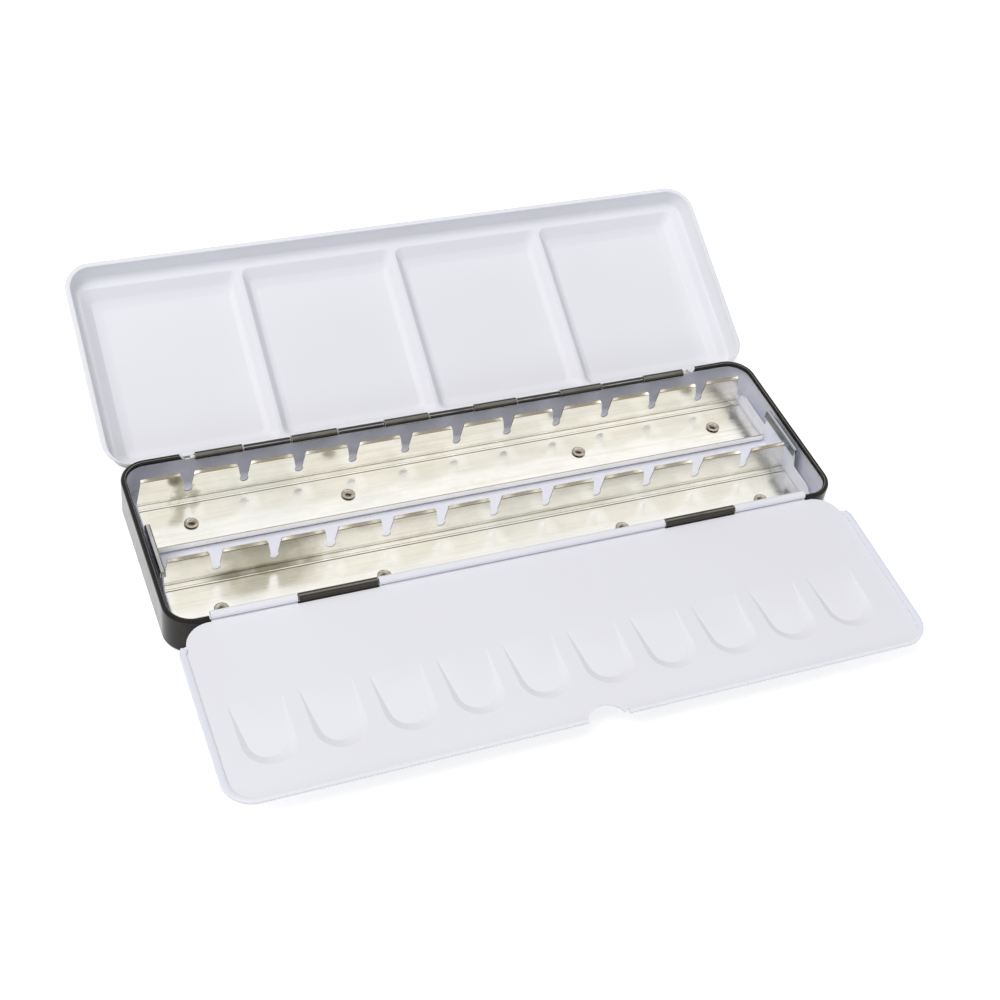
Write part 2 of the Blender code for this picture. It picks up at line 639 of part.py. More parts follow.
def add_scoop(shape, middle, sheet):
    """Adds the space of one thumb well, or its underside where a sheet thickness is given."""

    def floor(reach, share):
        return (FLAP_BOTTOM if sheet else FLAP_TOP) - SCOOP_DEPTH * scoop_share(reach) * share

    if sheet:
        middle_height = FLAP_TOP - sheet / 3
        rings = [scoop_ring(middle, 0, sheet, lambda reach: middle_height)]
    else:
        rings = [scoop_ring(middle, 0, SCOOP_LIP, lambda reach: FLAP_TOP + SCOOP_LIP)]
    for slope_share, depth_share in SCOOP_SIDE_SHARES:
        grow = sheet * (1 - slope_share)
        rings.append(
            scoop_ring(middle, slope_share, grow, lambda reach, share=depth_share: floor(reach, share))
        )
    add_loft(shape, rings)


def build_flap(hinge):
    """Builds the palette flap with its hem, notch, thumb wells and knuckles."""
    shape = bmesh.new()
    outline = [(across, -reach) for across, reach in flap_outline()]
    add_prism(shape, outline, FLAP_BOTTOM, FLAP_TOP, along_z)
    flap = add_object("mixing_flap", shape, hinge)
    middles = [
        SCOOP_SHIFT + (index - (SCOOP_COUNT - 1) / 2) * SCOOP_PITCH
        for index in range(SCOOP_COUNT)
    ]

    added = bmesh.new()
    for side in (-1, 1):
        add_hem(added, side)
    for middle in middles:
        add_scoop(added, middle, KNUCKLE_SHEET)
    leaf = straight_leaf(FLAP_START + KNUCKLE_SINK)
    outline = [(q, -p) for p, q in knuckle_outline(leaf)]
    add_prism(added, outline, -FRONT_MIDDLE_HALF, FRONT_MIDDLE_HALF, along_x)
    for side in (-1, 1):
        start = side * (FRONT_BASE_OUTER + RUNNING_GAP)
        add_prism(added, outline, start, side * FRONT_HINGE_HALF, along_x)
    combine(flap, "flap_hem_scoops_and_knuckles", added, "UNION")

    scoops = bmesh.new()
    for middle in middles:
        add_scoop(scoops, middle, 0)
    combine(flap, "flap_scoops", scoops, "DIFFERENCE")
    return finish_object(flap, WHITE_ENAMEL)


def build_pin(name, axis, points):
    """Builds a hinge pin of round wire along points that are given from its axis."""
    wire = bpy.data.curves.new(name, "CURVE")
    wire.dimensions = "3D"
    wire.bevel_depth = PIN_RADIUS
    wire.bevel_resolution = 2
    wire.use_fill_caps = True
    spline = wire.splines.new("POLY")
    spline.points.add(len(points) - 1)
    for spot, point in zip(spline.points, points):
        spot.co = (*point, 1)
    wire.materials.append(material(PIN_STEEL))
    pin = bpy.data.objects.new(name, wire)
    pin.location = axis
    bpy.context.scene.collection.objects.link(pin)
    return pin


def build_pins():
    """Builds the rear pin with its bent end, and the front pin."""
    rear_half = REAR_KNUCKLE_COUNT * REAR_KNUCKLE_PITCH / 2
    tip = rear_half + PIN_END
    rear_points = (
        (-tip, 0, 0),
        (rear_half + PIN_RADIUS, 0, 0),
        (tip, PIN_TIP_SIDE / 2, PIN_TIP_RISE / 3),
        (tip + PIN_RADIUS, PIN_TIP_SIDE, PIN_TIP_RISE),
    )
    build_pin("lid_hinge_pin", REAR_AXIS, rear_points)
    front_half = FRONT_HINGE_HALF - PIN_RADIUS
    build_pin("flap_hinge_pin", FRONT_AXIS, ((-front_half, 0, 0), (front_half, 0, 0)))


def flange_outline():
    """Returns the outline of the insert's upturned end, as Y and Z values."""
    foot = INSERT_BOTTOM + INSERT_SHEET / 2
    radius = FLANGE_CORNER_RADIUS
    outline = [(-FLANGE_FRONT, foot), (FLANGE_REAR, foot)]
    outline += arc((FLANGE_REAR - radius, FLANGE_TOP - radius), radius, 0, math.pi / 2, CORNER_STEPS)
    fillet_height = FLANGE_TOP + TONGUE_FILLET
    outline += arc((TONGUE_REAR + TONGUE_FILLET, fillet_height), TONGUE_FILLET, -math.pi / 2, -math.pi, 4)
    outline += [(TONGUE_REAR, TONGUE_TOP), (-TONGUE_FRONT, TONGUE_TOP)]
    foot_centre = (-TONGUE_FRONT - TONGUE_SLANT - TONGUE_FILLET, fillet_height)
    outline += arc(foot_centre, TONGUE_FILLET, 0, -math.pi / 2, 4)
    front_centre = (-FLANGE_FRONT + radius, FLANGE_TOP - radius)
    outline += arc(front_centre, radius, math.pi / 2, math.pi, CORNER_STEPS)
    return outline


def rivet_places():
    """Returns each rivet's name with its X and Y place."""
    rows = (
        ("rear", REAR_RAIL_WALL - REAR_RIVET_SETBACK),
        ("front", FRONT_RAIL_WALL - FRONT_RIVET_SETBACK),
    )
    outer = RAIL_HALF_LENGTH - RIVET_END_INSET
    inner = outer - RIVET_SPACING
    places = []
    for row, across in rows:
        for number, along in enumerate((-outer, -inner, inner, outer), start=1):
            places.append((f"rail_rivet_{row}_{number}", along, across))
    return places


def add_rivet_holes(shape, low, high, low_y, high_y):
    """Adds cutters for the rivet holes between two heights and two Y places."""
    for _, along, across in rivet_places():
        if low_y < across < high_y:
            ring = arc((along, across), RIVET_HOLE_RADIUS, 0, math.tau, ROUND_STEPS)[:-1]
            add_prism(shape, ring, low, high, along_z)


def build_insert():
    """Builds the lift-out tray with its upturned ends and their tongues."""
    shape = bmesh.new()
    floor_half = INSERT_HALF_LENGTH - SEAM_STEP
    levels = (INSERT_BOTTOM, INSERT_BOTTOM + INSERT_SHEET)
    add_loft(shape, [
        rounded_rectangle(
            -floor_half, floor_half, -INSERT_HALF_DEPTH, INSERT_HALF_DEPTH, INSERT_CORNER_RADIUS, level
        )
        for level in levels
    ])
    insert = add_object("insert_tray", shape)

    ends = bmesh.new()
    for side in (-1, 1):
        inner = side * (INSERT_HALF_LENGTH - INSERT_SHEET)
        add_prism(ends, flange_outline(), inner, side * INSERT_HALF_LENGTH, along_x)
    combine(insert, "insert_ends", ends, "UNION")

    holes = bmesh.new()
    low = INSERT_BOTTOM - OVERRUN
    add_rivet_holes(holes, low, INSERT_BOTTOM + INSERT_SHEET + OVERRUN, -BASE_DEPTH, BASE_DEPTH)
    combine(insert, "insert_rivet_holes", holes, "DIFFERENCE")
    return finish_object(insert, WHITE_TRAY)


def build_grips():
    """Builds the folded caps over the insert's tongues."""
    middle = INSERT_HALF_LENGTH - INSERT_SHEET / 2
    inner_half = INSERT_SHEET / 2 + SEAT_GAP
    outer_half = inner_half + GRIP_SHEET
    under = TONGUE_TOP + SEAT_GAP
    top = under + GRIP_SHEET
    foot = top - GRIP_HEIGHT
    radius = GRIP_CORNER_RADIUS
    outline = [(outer_half, foot)]
    outline += arc((outer_half - radius, top - radius), radius, 0, math.pi / 2, CORNER_STEPS // 2)
    outline += arc((-outer_half + radius, top - radius), radius, math.pi / 2, math.pi, CORNER_STEPS // 2)
    outline += [(-outer_half, foot), (-inner_half, foot), (-inner_half, under)]
    outline += [(inner_half, under), (inner_half, foot)]
    for name, side in (("left_grip", -1), ("right_grip", 1)):
        shape = bmesh.new()
        placed = [(side * middle + across, height) for across, height in outline]
        add_prism(shape, placed, -TONGUE_FRONT - GRIP_OVERHANG, TONGUE_REAR + GRIP_OVERHANG, along_y)
        finish_object(add_object(name, shape), GRIP_STEEL)


def rail_path():
    """Returns the middle line of a rail's sheet, from its lip to its tabs, as Y and Z values."""
    floor = RAIL_SHEET / 2
    rise = RAIL_TOP - RAIL_BOTTOM - RAIL_SHEET / 2
    lip = -RAIL_DEPTH + RAIL_SHEET / 2
    rib_end = -RAIL_FOLD
    rib_start = rib_end - RAIL_RIB_WIDTH
    path = [(lip - RAIL_LIP_LEAN, RAIL_LIP_HEIGHT + RAIL_SHEET), (lip, floor + RAIL_FOLD)]
    path += [(lip + RAIL_FOLD / 3, floor + RAIL_FOLD / 3), (lip + RAIL_FOLD, floor)]
    path += [(rib_start - RAIL_RIB_WIDTH / 4, floor)]
    for step in range(1, 6):
        share = step / 6
        crown = math.sin(math.pi * share)
        path.append((rib_start + RAIL_RIB_WIDTH * share, floor + RAIL_RIB_HEIGHT * crown))
    path += [(rib_end, floor), (rib_end / 3, floor + RAIL_FOLD / 3), (0, floor + RAIL_FOLD)]
    path += [(RAIL_LEAN, rise - RAIL_FLARE_HEIGHT)]
    path += [(RAIL_LEAN + RAIL_FLARE / 4, rise - RAIL_FLARE_HEIGHT / 2)]
    path += [(RAIL_LEAN + RAIL_FLARE, rise)]
    return path


def add_slot(shape, middle, wall):
    """Adds the cutter of one slot, which widens to its mouth and ends in a round bulb."""
    bulb_height = SLOT_BOTTOM + SLOT_BULB_RADIUS
    open_half = math.asin(SLOT_NECK_HALF / SLOT_BULB_RADIUS)
    start, end = math.pi / 2 + open_half, math.tau + math.pi / 2 - open_half
    bulb = arc((0, bulb_height), SLOT_BULB_RADIUS, start, end, SLOT_BULB_STEPS)
    right = [
        (SLOT_NECK_HALF, SLOT_NECK_HEIGHT),
        (SLOT_TOP_HALF, RAIL_TOP - RAIL_FLARE_HEIGHT),
        (SLOT_MOUTH_HALF, RAIL_TOP),
        (SLOT_MOUTH_HALF, RAIL_TOP + OVERRUN),
    ]
    outline = bulb + right + [(-across, height) for across, height in reversed(right)]
    placed = [(middle + across, height) for across, height in outline]
    add_prism(shape, placed, wall - OVERRUN, wall + OVERRUN, along_y)


def add_end_taper(shape, side, wall):
    """Adds the cutter that slants the outer edge of a rail's last tab."""
    run = RAIL_TAPER / (RAIL_TOP - RAIL_TAPER_START)
    top = RAIL_TOP + OVERRUN
    outline = (
        (side * RAIL_HALF_LENGTH, RAIL_TAPER_START),
        (side * (RAIL_HALF_LENGTH + OVERRUN), RAIL_TAPER_START),
        (side * (RAIL_HALF_LENGTH + OVERRUN), top),
        (side * (RAIL_HALF_LENGTH - run * (top - RAIL_TAPER_START)), top),
    )
    add_prism(shape, outline, wall - OVERRUN, wall + OVERRUN, along_y)


def build_rail(name, wall):
    """Builds one rail, whose wall stands at the given Y."""
    shape = bmesh.new()
    path = [(wall + across, RAIL_BOTTOM + height) for across, height in rail_path()]
    add_prism(shape, sheet_outline(path, RAIL_SHEET), -RAIL_HALF_LENGTH, RAIL_HALF_LENGTH, along_x)
    rail = add_object(name, shape)

    cuts = bmesh.new()
    for index in range(SLOT_COUNT):
        add_slot(cuts, (index - (SLOT_COUNT - 1) / 2) * SLOT_PITCH, wall)
    for side in (-1, 1):
        add_end_taper(cuts, side, wall)
    low = RAIL_BOTTOM - OVERRUN
    add_rivet_holes(cuts, low, RAIL_BOTTOM + RAIL_SHEET + OVERRUN, wall - RAIL_DEPTH, wall)
    combine(rail, f"{name}_slots", cuts, "DIFFERENCE")
    return finish_object(rail, TINPLATE)


def build_rivets():
    """Builds the eyelets that hold the rails to the insert."""
    head = RIVET_HEAD_HEIGHT
    top = RIVET_HEAD_SEAT + head
    profile = (
        (RIVET_BORE_RADIUS, INSERT_BOTTOM),
        (RIVET_SHANK_RADIUS, INSERT_BOTTOM),
        (RIVET_SHANK_RADIUS, RIVET_HEAD_SEAT),
        (RIVET_HEAD_RADIUS - head / 2, RIVET_HEAD_SEAT),
        (RIVET_HEAD_RADIUS, RIVET_HEAD_SEAT + head / 3),
        (RIVET_HEAD_RADIUS - head / 2, top - head / 4),
        (RIVET_SHANK_RADIUS + head / 2, top),
        (RIVET_SHANK_RADIUS - head / 4, top - head / 4),
        (RIVET_BORE_RADIUS, RIVET_HEAD_SEAT),
    )
    for name, along, across in rivet_places():
        shape = bmesh.new()
        loops = []
        for step in range(ROUND_STEPS):
            angle = math.tau * step / ROUND_STEPS
            cos, sin = math.cos(angle), math.sin(angle)
            points = ((radius * cos, radius * sin, height) for radius, height in profile)
            loops.append([shape.verts.new(point) for point in points])
        for step, loop in enumerate(loops):
            after = loops[(step + 1) % ROUND_STEPS]
            for index in range(len(profile)):
                above = (index + 1) % len(profile)
                shape.faces.new((loop[index], after[index], after[above], loop[above]))
        rivet = finish_object(add_object(name, shape), RIVET_STEEL)
        rivet.location = (along, across, 0)


def main():
    """Builds the whole box."""
    clear_scene()
    build_base()
    build_lid(add_empty("lid_hinge_axis", REAR_AXIS, LID_OPEN_ANGLE))
    build_flap(add_empty("flap_hinge_axis", FRONT_AXIS, FLAP_DROOP_ANGLE))
    build_pins()
    build_insert()
    build_grips()
    build_rail("rear_pan_rail", REAR_RAIL_WALL)
    build_rail("front_pan_rail", FRONT_RAIL_WALL)
    build_rivets()


main()
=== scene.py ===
"""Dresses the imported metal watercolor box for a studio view.

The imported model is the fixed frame. Each sub-assembly is a class that builds the finer meshes that stand
for its nodes, in metres and in the frame's own place, and gives them their finishes.
"""
from __future__ import annotations

import json
import logging
import math
from dataclasses import dataclass
from enum import Enum
from typing import Callable, ClassVar, Sequence

import bmesh
import bpy
from mathutils import Matrix, Vector

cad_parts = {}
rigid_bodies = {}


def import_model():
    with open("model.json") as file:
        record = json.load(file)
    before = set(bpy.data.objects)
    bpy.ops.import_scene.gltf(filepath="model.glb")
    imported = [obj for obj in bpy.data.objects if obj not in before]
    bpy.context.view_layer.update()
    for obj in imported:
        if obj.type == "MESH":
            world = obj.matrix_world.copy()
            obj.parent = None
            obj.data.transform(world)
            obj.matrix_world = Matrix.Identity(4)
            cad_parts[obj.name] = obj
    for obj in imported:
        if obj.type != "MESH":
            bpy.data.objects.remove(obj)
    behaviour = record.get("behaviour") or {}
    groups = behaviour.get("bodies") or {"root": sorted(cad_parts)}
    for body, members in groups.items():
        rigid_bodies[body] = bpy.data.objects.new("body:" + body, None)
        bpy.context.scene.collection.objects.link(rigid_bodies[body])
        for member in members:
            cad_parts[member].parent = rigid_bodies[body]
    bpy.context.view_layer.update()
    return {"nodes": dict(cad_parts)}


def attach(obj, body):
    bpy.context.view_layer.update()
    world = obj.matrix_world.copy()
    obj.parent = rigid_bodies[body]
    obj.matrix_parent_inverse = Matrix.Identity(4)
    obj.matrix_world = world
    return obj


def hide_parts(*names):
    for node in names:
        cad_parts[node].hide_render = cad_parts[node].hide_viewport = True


LOG = logging.getLogger("watercolor_box")

Point = tuple[float, float]
Ring = list[Vector]


class Body(Enum):
    """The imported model's bodies."""

    BASE = "base"
    LID = "lid"
    FLAP = "flap"
    INSERT = "insert"


class Cut(Enum):
    """What a helper shape does to a piece."""

    REMOVE = "DIFFERENCE"
    JOIN = "UNION"


@dataclass(frozen=True)
class Finish:
    """A surface finish: base values on the shader's own sockets, and a pattern that a subclass adds.

    Args:
        name: Name of the material.
        slot: Material slot of the record that the finish belongs to.
        colour: Base colour, linear.
        roughness: Roughness of the surface.
        metallic: 1 for bare metal.
        specular: Specular level of a finish that isn't metal.
    """

    name: str
    slot: str
    colour: tuple[float, float, float]
    roughness: float
    metallic: float = 0.0
    specular: float = 0.5

    def material(self) -> bpy.types.Material:
        """Returns the finish as a material, made once."""
        found = bpy.data.materials.get(self.name)
        if found is not None:
            return found
        made = bpy.data.materials.new(self.name)
        made.use_nodes = True
        shader = made.node_tree.nodes["Principled BSDF"]
        shader.inputs["Base Color"].default_value = (*self.colour, 1.0)
        shader.inputs["Roughness"].default_value = self.roughness
        shader.inputs["Metallic"].default_value = self.metallic
        shader.inputs["Specular IOR Level"].default_value = self.specular
        self.dress(NodeBench(made.node_tree), shader)
        return made

    def dress(self, bench: NodeBench, shader: bpy.types.Node) -> None:
        """Adds the finish's own pattern; the plain finish has none.

        Args:
            bench: Helper that adds nodes to the material.
            shader: The material's Principled shader.
        """


@dataclass
class NodeBench:
    """Adds and joins shader nodes.

    Args:
        tree: The node tree that is built.
    """

    tree: bpy.types.NodeTree

    def add(self, kind: str, settings: dict | None = None, **inputs: object) -> bpy.types.Node:
        """Adds a node.

        Args:
            kind: The node's type.
            settings: Properties of the node.
            **inputs: Sockets by name, with _ for a space; a socket links, anything else is a value.

        Returns:
            The new node.
        """
        node = self.tree.nodes.new(kind)
        for name, value in (settings or {}).items():
            setattr(node, name, value)
        for name, value in inputs.items():
            socket = node.inputs[name.replace("_", " ")]
            if isinstance(value, bpy.types.NodeSocket):
                self.tree.links.new(value, socket)
            else:
                socket.default_value = value
        return node

    def link(self, source: bpy.types.NodeSocket, target: bpy.types.NodeSocket) -> None:
        """Joins two sockets."""
        self.tree.links.new(source, target)

    def place(self, stretch: Sequence[float] = (1.0, 1.0, 1.0)) -> bpy.types.NodeSocket:
        """Returns Object coordinates, stretched along the axes."""
        source = self.add("ShaderNodeTexCoord")
        mapping = self.add("ShaderNodeMapping", Vector=source.outputs["Object"], Scale=tuple(stretch))
        return mapping.outputs["Vector"]

    def noise(
        self, scale: float, detail: float = 2.0, roughness: float = 0.5,
        stretch: Sequence[float] = (1.0, 1.0, 1.0),
    ) -> bpy.types.NodeSocket:
        """Returns the value of a noise in Object coordinates.

        Args:
            scale: Cells of noise per metre.
            detail: Octaves.
            roughness: Weight of the finer octaves.
            stretch: Scale of the coordinates along each axis.

        Returns:
            The noise's factor socket.
        """
        place = self.place(stretch)
        node = self.add("ShaderNodeTexNoise", Vector=place, Scale=scale, Detail=detail, Roughness=roughness)
        return node.outputs["Fac"]

    def remap(self, value: bpy.types.NodeSocket, source: Point, target: Point) -> bpy.types.NodeSocket:
        """Returns a value moved from one range to another, and clamped."""
        node = self.add("ShaderNodeMapRange", Value=value)
        node.inputs["From Min"].default_value, node.inputs["From Max"].default_value = source
        node.inputs["To Min"].default_value, node.inputs["To Max"].default_value = target
        return node.outputs["Result"]

    def blend(
        self, share: bpy.types.NodeSocket, low: Sequence[float], high: Sequence[float]
    ) -> bpy.types.NodeSocket:
        """Returns a colour between two colours."""
        node = self.add("ShaderNodeMix", {"data_type": "RGBA"})
        self.link(share, node.inputs[0])
        node.inputs[6].default_value = (*low, 1.0)
        node.inputs[7].default_value = (*high, 1.0)
        return node.outputs[2]

    def mix(
        self, share: bpy.types.NodeSocket, base: bpy.types.NodeSocket, over: Sequence[float]
    ) -> bpy.types.NodeSocket:
        """Returns a colour socket with another colour laid over it by a share."""
        node = self.add("ShaderNodeMix", {"data_type": "RGBA"})
        self.link(share, node.inputs[0])
        self.link(base, node.inputs[6])
        node.inputs[7].default_value = (*over, 1.0)
        return node.outputs[2]

    def swing(self, pitch: float, operation: str) -> bpy.types.NodeSocket:
        """Returns the size of a sine or cosine along X, which swings once in each pitch."""
        split = self.add("ShaderNodeSeparateXYZ", Vector=self.place((math.pi / pitch, 1.0, 1.0)))
        wave = self.add("ShaderNodeMath", {"operation": operation})
        self.link(split.outputs["X"], wave.inputs[0])
        size = self.add("ShaderNodeMath", {"operation": "ABSOLUTE"})
        self.link(wave.outputs[0], size.inputs[0])
        return size.outputs[0]

    def sum(self, first: bpy.types.NodeSocket, second: bpy.types.NodeSocket) -> bpy.types.NodeSocket:
        """Returns the sum of two values."""
        node = self.add("ShaderNodeMath", {"operation": "ADD"})
        self.link(first, node.inputs[0])
        self.link(second, node.inputs[1])
        return node.outputs[0]

    def product(self, first: bpy.types.NodeSocket, second: bpy.types.NodeSocket) -> bpy.types.NodeSocket:
        """Returns the product of two values."""
        node = self.add("ShaderNodeMath", {"operation": "MULTIPLY"})
        self.link(first, node.inputs[0])
        self.link(second, node.inputs[1])
        return node.outputs[0]

    def bump(
        self, height: bpy.types.NodeSocket, distance: float, strength: float = 1.0,
        normal: bpy.types.NodeSocket | None = None,
    ) -> bpy.types.NodeSocket:
        """Returns a normal bumped by a height.

        Args:
            height: The height's socket.
            distance: Height in metres of a full step.
            strength: Share of the bump that shows.
            normal: A normal to add the bump to.

        Returns:
            The bumped normal.
        """
        node = self.add("ShaderNodeBump", Height=height, Distance=distance, Strength=strength)
        if normal is not None:
            self.link(normal, node.inputs["Normal"])
        return node.outputs["Normal"]


@dataclass(frozen=True)
class Enamel(Finish):
    """Fired white enamel: smooth, with a barely uneven tint and gloss and a faint, slow waviness."""

    tint: tuple[float, float, float] = (0.80, 0.80, 0.84)
    wave_scale: float = 30.0
    wave_height: float = 0.00001

    def dress(self, bench: NodeBench, shader: bpy.types.Node) -> None:
        """Adds the tint, the waviness and the uneven gloss."""
        cloud = bench.remap(bench.noise(18.0, 2.0), (0.3, 0.7), (0.0, 1.0))
        bench.link(bench.blend(cloud, self.colour, self.tint), shader.inputs["Base Color"])
        bench.link(bench.bump(bench.noise(self.wave_scale, 0.0), self.wave_height), shader.inputs["Normal"])
        gloss = (self.roughness - 0.02, self.roughness + 0.03)
        bench.link(bench.remap(bench.noise(60.0, 2.0), (0.3, 0.7), gloss), shader.inputs["Roughness"])


@dataclass(frozen=True)
class Lacquer(Finish):
    """Black stoving lacquer: glossy, with a brownish cast in places and a fine peel."""

    worn: tuple[float, float, float] = (0.020, 0.014, 0.009)
    cast: Point = (0.50, 0.75)

    def dress(self, bench: NodeBench, shader: bpy.types.Node) -> None:
        """Adds the brownish cast, the uneven gloss and the peel."""
        cloud = bench.remap(bench.noise(140.0, 3.0, 0.6), self.cast, (0.0, 1.0))
        bench.link(bench.blend(cloud, self.colour, self.worn), shader.inputs["Base Color"])
        gloss = (self.roughness - 0.03, self.roughness + 0.06)
        bench.link(bench.remap(bench.noise(300.0, 3.0), (0.3, 0.7), gloss), shader.inputs["Roughness"])
        bench.link(bench.bump(bench.noise(900.0, 1.0), 0.000003), shader.inputs["Normal"])


@dataclass(frozen=True)
class Tinplate(Finish):
    """Bright rolled tinplate: grey and brown streaks along it, a faint mottle and a fine grain."""

    dull: tuple[float, float, float] = (0.86, 0.84, 0.77)
    cool: tuple[float, float, float] = (0.80, 0.82, 0.81)
    streak: tuple[float, float, float] = (0.80, 0.75, 0.64)
    grain_scale: float = 2600.0

    def tinted(self, bench: NodeBench) -> bpy.types.NodeSocket:
        """Returns the colour with its mottle, its streaks and its cool patches."""
        mottle = bench.remap(bench.noise(150.0, 4.0, 0.6, (0.5, 1.0, 1.0)), (0.42, 0.72), (0.0, 0.9))
        base = bench.blend(mottle, self.colour, self.dull)
        lines = bench.remap(bench.noise(700.0, 2.0, 0.6, (0.018, 1.0, 1.0)), (0.50, 0.78), (0.0, 0.7))
        streaked = bench.mix(lines, base, self.streak)
        patches = bench.remap(bench.noise(26.0, 2.0, 0.5, (0.5, 1.0, 1.0)), (0.50, 0.78), (0.0, 0.6))
        return bench.mix(patches, streaked, self.cool)

    def dress(self, bench: NodeBench, shader: bpy.types.Node) -> None:
        """Adds the tint, the grain and the waviness."""
        bench.link(self.tinted(bench), shader.inputs["Base Color"])
        grain = bench.noise(self.grain_scale, 2.0, 0.6, (0.06, 1.0, 1.0))
        gloss = (self.roughness - 0.04, self.roughness + 0.08)
        bench.link(bench.remap(grain, (0.3, 0.7), gloss), shader.inputs["Roughness"])
        wave = bench.bump(bench.noise(70.0, 1.0, 0.5, (0.4, 1.0, 1.0)), 0.00006)
        bench.link(bench.bump(grain, 0.000003, 1.0, wave), shader.inputs["Normal"])


@dataclass(frozen=True)
class TabEdge(Tinplate):
    """The bent back top of the tabs: tinplate with a painted dark reflection, brown-grey, that is strongest towards
    the middle of each tab.
    """

    # colour of the painted dark reflection on the bent-back top
    shade: tuple[float, float, float] = (0.30, 0.27, 0.21)
    pitch: float = 0.01719

    def tinted(self, bench: NodeBench) -> bpy.types.NodeSocket:
        """Returns the colour with a painted dark reflection that comes and goes once in each tab."""
        share = bench.remap(bench.swing(self.pitch, "SINE"), (0.0, 0.5), (0.2, 1.0))
        return bench.mix(share, super().tinted(bench), self.shade)


@dataclass(frozen=True)
class RailPlate(Tinplate):
    """A rail's plate: duller near the tabs' feet and bright below each slot, both painted reflections of the tabs and
    slots, with a pale lip side.

    Args:
        wall: Y of the rail's wall.
        pitch: Distance from one slot to the next.
        dark_spot: X and Y of the middle of a darker spot on the upright part, and its reach.
    """

    wall: float = 0.0
    pitch: float = 0.01719
    # colour of the painted reflection of the tabs, near their feet
    tab_reflection_tone: tuple[float, float, float] = (0.88, 0.86, 0.79)
    # colour of the painted slot reflections, also used for the paler lip side
    bright: tuple[float, float, float] = (0.99, 0.98, 0.95)
    dark_spot_tone: tuple[float, float, float] = (0.48, 0.46, 0.38)
    dark_spot: tuple[float, float, float] = (0.0, 0.0, 0.01)

    def tinted(self, bench: NodeBench) -> bpy.types.NodeSocket:
        """Returns the plate's colour, with its painted reflections of the tabs and the slots."""
        split = bench.add("ShaderNodeSeparateXYZ", Vector=bench.place())
        wander = bench.remap(bench.noise(120.0, 2.0), (0.3, 0.7), (-0.0012, 0.0012))
        across = bench.sum(split.outputs["Y"], wander)
        rise = bench.remap(across, (self.wall - 0.0130, self.wall - 0.0100), (0.0, 1.0))
        fall = bench.remap(across, (self.wall - 0.0030, self.wall - 0.0008), (1.0, 0.0))
        upright = bench.remap(across, (self.wall - 0.0020, self.wall - 0.0006), (0.0, 1.0))
        # painted reflection of the tabs: a duller band on the plate before their feet
        foot = bench.product(rise, fall)
        tab_reflected = bench.mix(bench.product(foot, bench.remap(rise, (0.0, 1.0), (0.0, 0.55))), super().tinted(bench), self.tab_reflection_tone)
        # painted reflection of the slots: a bright spot on the plate below each slot
        peak = bench.remap(bench.swing(self.pitch, "COSINE"), (0.86, 1.0), (0.0, 0.85))
        near = bench.remap(across, (self.wall - 0.0105, self.wall - 0.0065), (0.0, 1.0))
        glow = bench.product(peak, bench.product(near, fall))
        lit = bench.mix(glow, tab_reflected, self.bright)
        lip = bench.remap(across, (self.wall - 0.0150, self.wall - 0.0185), (0.0, 0.6))
        pale = bench.mix(lip, lit, self.bright)
        # a darker spot on the upright part, round a given point
        spot = bench.add("ShaderNodeVectorMath", {"operation": "DISTANCE"})
        bench.link(bench.place((1.0, 1.0, 0.0)), spot.inputs[0])
        spot.inputs[1].default_value = (self.dark_spot[0], self.dark_spot[1], 0.0)
        reach = bench.sum(spot.outputs["Value"], bench.remap(bench.noise(90.0, 3.0), (0.3, 0.7), (-0.006, 0.006)))
        dark_spot_tone = bench.product(bench.remap(reach, (self.dark_spot[2], self.dark_spot[2] * 0.35), (0.0, 0.9)), upright)
        return bench.mix(dark_spot_tone, pale, self.dark_spot_tone)


@dataclass(frozen=True)
class BareSteel(Finish):
    """Turned or drawn steel with fine scratches and darker spots."""

    spot: tuple[float, float, float] = (0.22, 0.20, 0.17)

    def dress(self, bench: NodeBench, shader: bpy.types.Node) -> None:
        """Adds spots and scratches."""
        spots = bench.remap(bench.noise(900.0, 4.0, 0.7), (0.5, 0.75), (0.0, 1.0))
        bench.link(bench.blend(spots, self.colour, self.spot), shader.inputs["Base Color"])
        scratch = bench.noise(3000.0, 2.0, 0.5, (0.1, 1.0, 1.0))
        gloss = (self.roughness - 0.08, self.roughness + 0.12)
        bench.link(bench.remap(scratch, (0.3, 0.7), gloss), shader.inputs["Roughness"])
        bench.link(bench.bump(scratch, 0.000006), shader.inputs["Normal"])


WHITE_ENAMEL = Enamel("white enamel", "white_enamel", (0.82, 0.825, 0.86), 0.24)
# painted shade: a darker, lavender copy of the white enamel for the hem's sides
SHADED_HEM_ENAMEL = Enamel("hem enamel", "white_enamel", (0.78, 0.79, 0.86), 0.26, tint=(0.77, 0.78, 0.85))
# painted shade: a bluer, lavender copy of the white enamel for the insert's tray
SHADED_TRAY_ENAMEL = Enamel("tray enamel", "white_tray", (0.84, 0.85, 0.94), 0.28, tint=(0.81, 0.82, 0.92))
# painted shade: a darker, lavender copy of the white enamel for the tray's inside
SHADED_INSIDE_ENAMEL = Enamel("inside enamel", "black_lacquer", (0.76, 0.77, 0.84), 0.28, tint=(0.73, 0.74, 0.81))
BLACK_LACQUER = Lacquer("black lacquer", "black_lacquer", (0.006, 0.0055, 0.005), 0.14, specular=0.22)
# lighter, browner copy of the black lacquer for the hinge tubes: its raised colour is partly a painted reflection
TUBE_LACQUER = Lacquer("tube lacquer", "black_lacquer", (0.021, 0.016, 0.010), 0.10, specular=0.40)
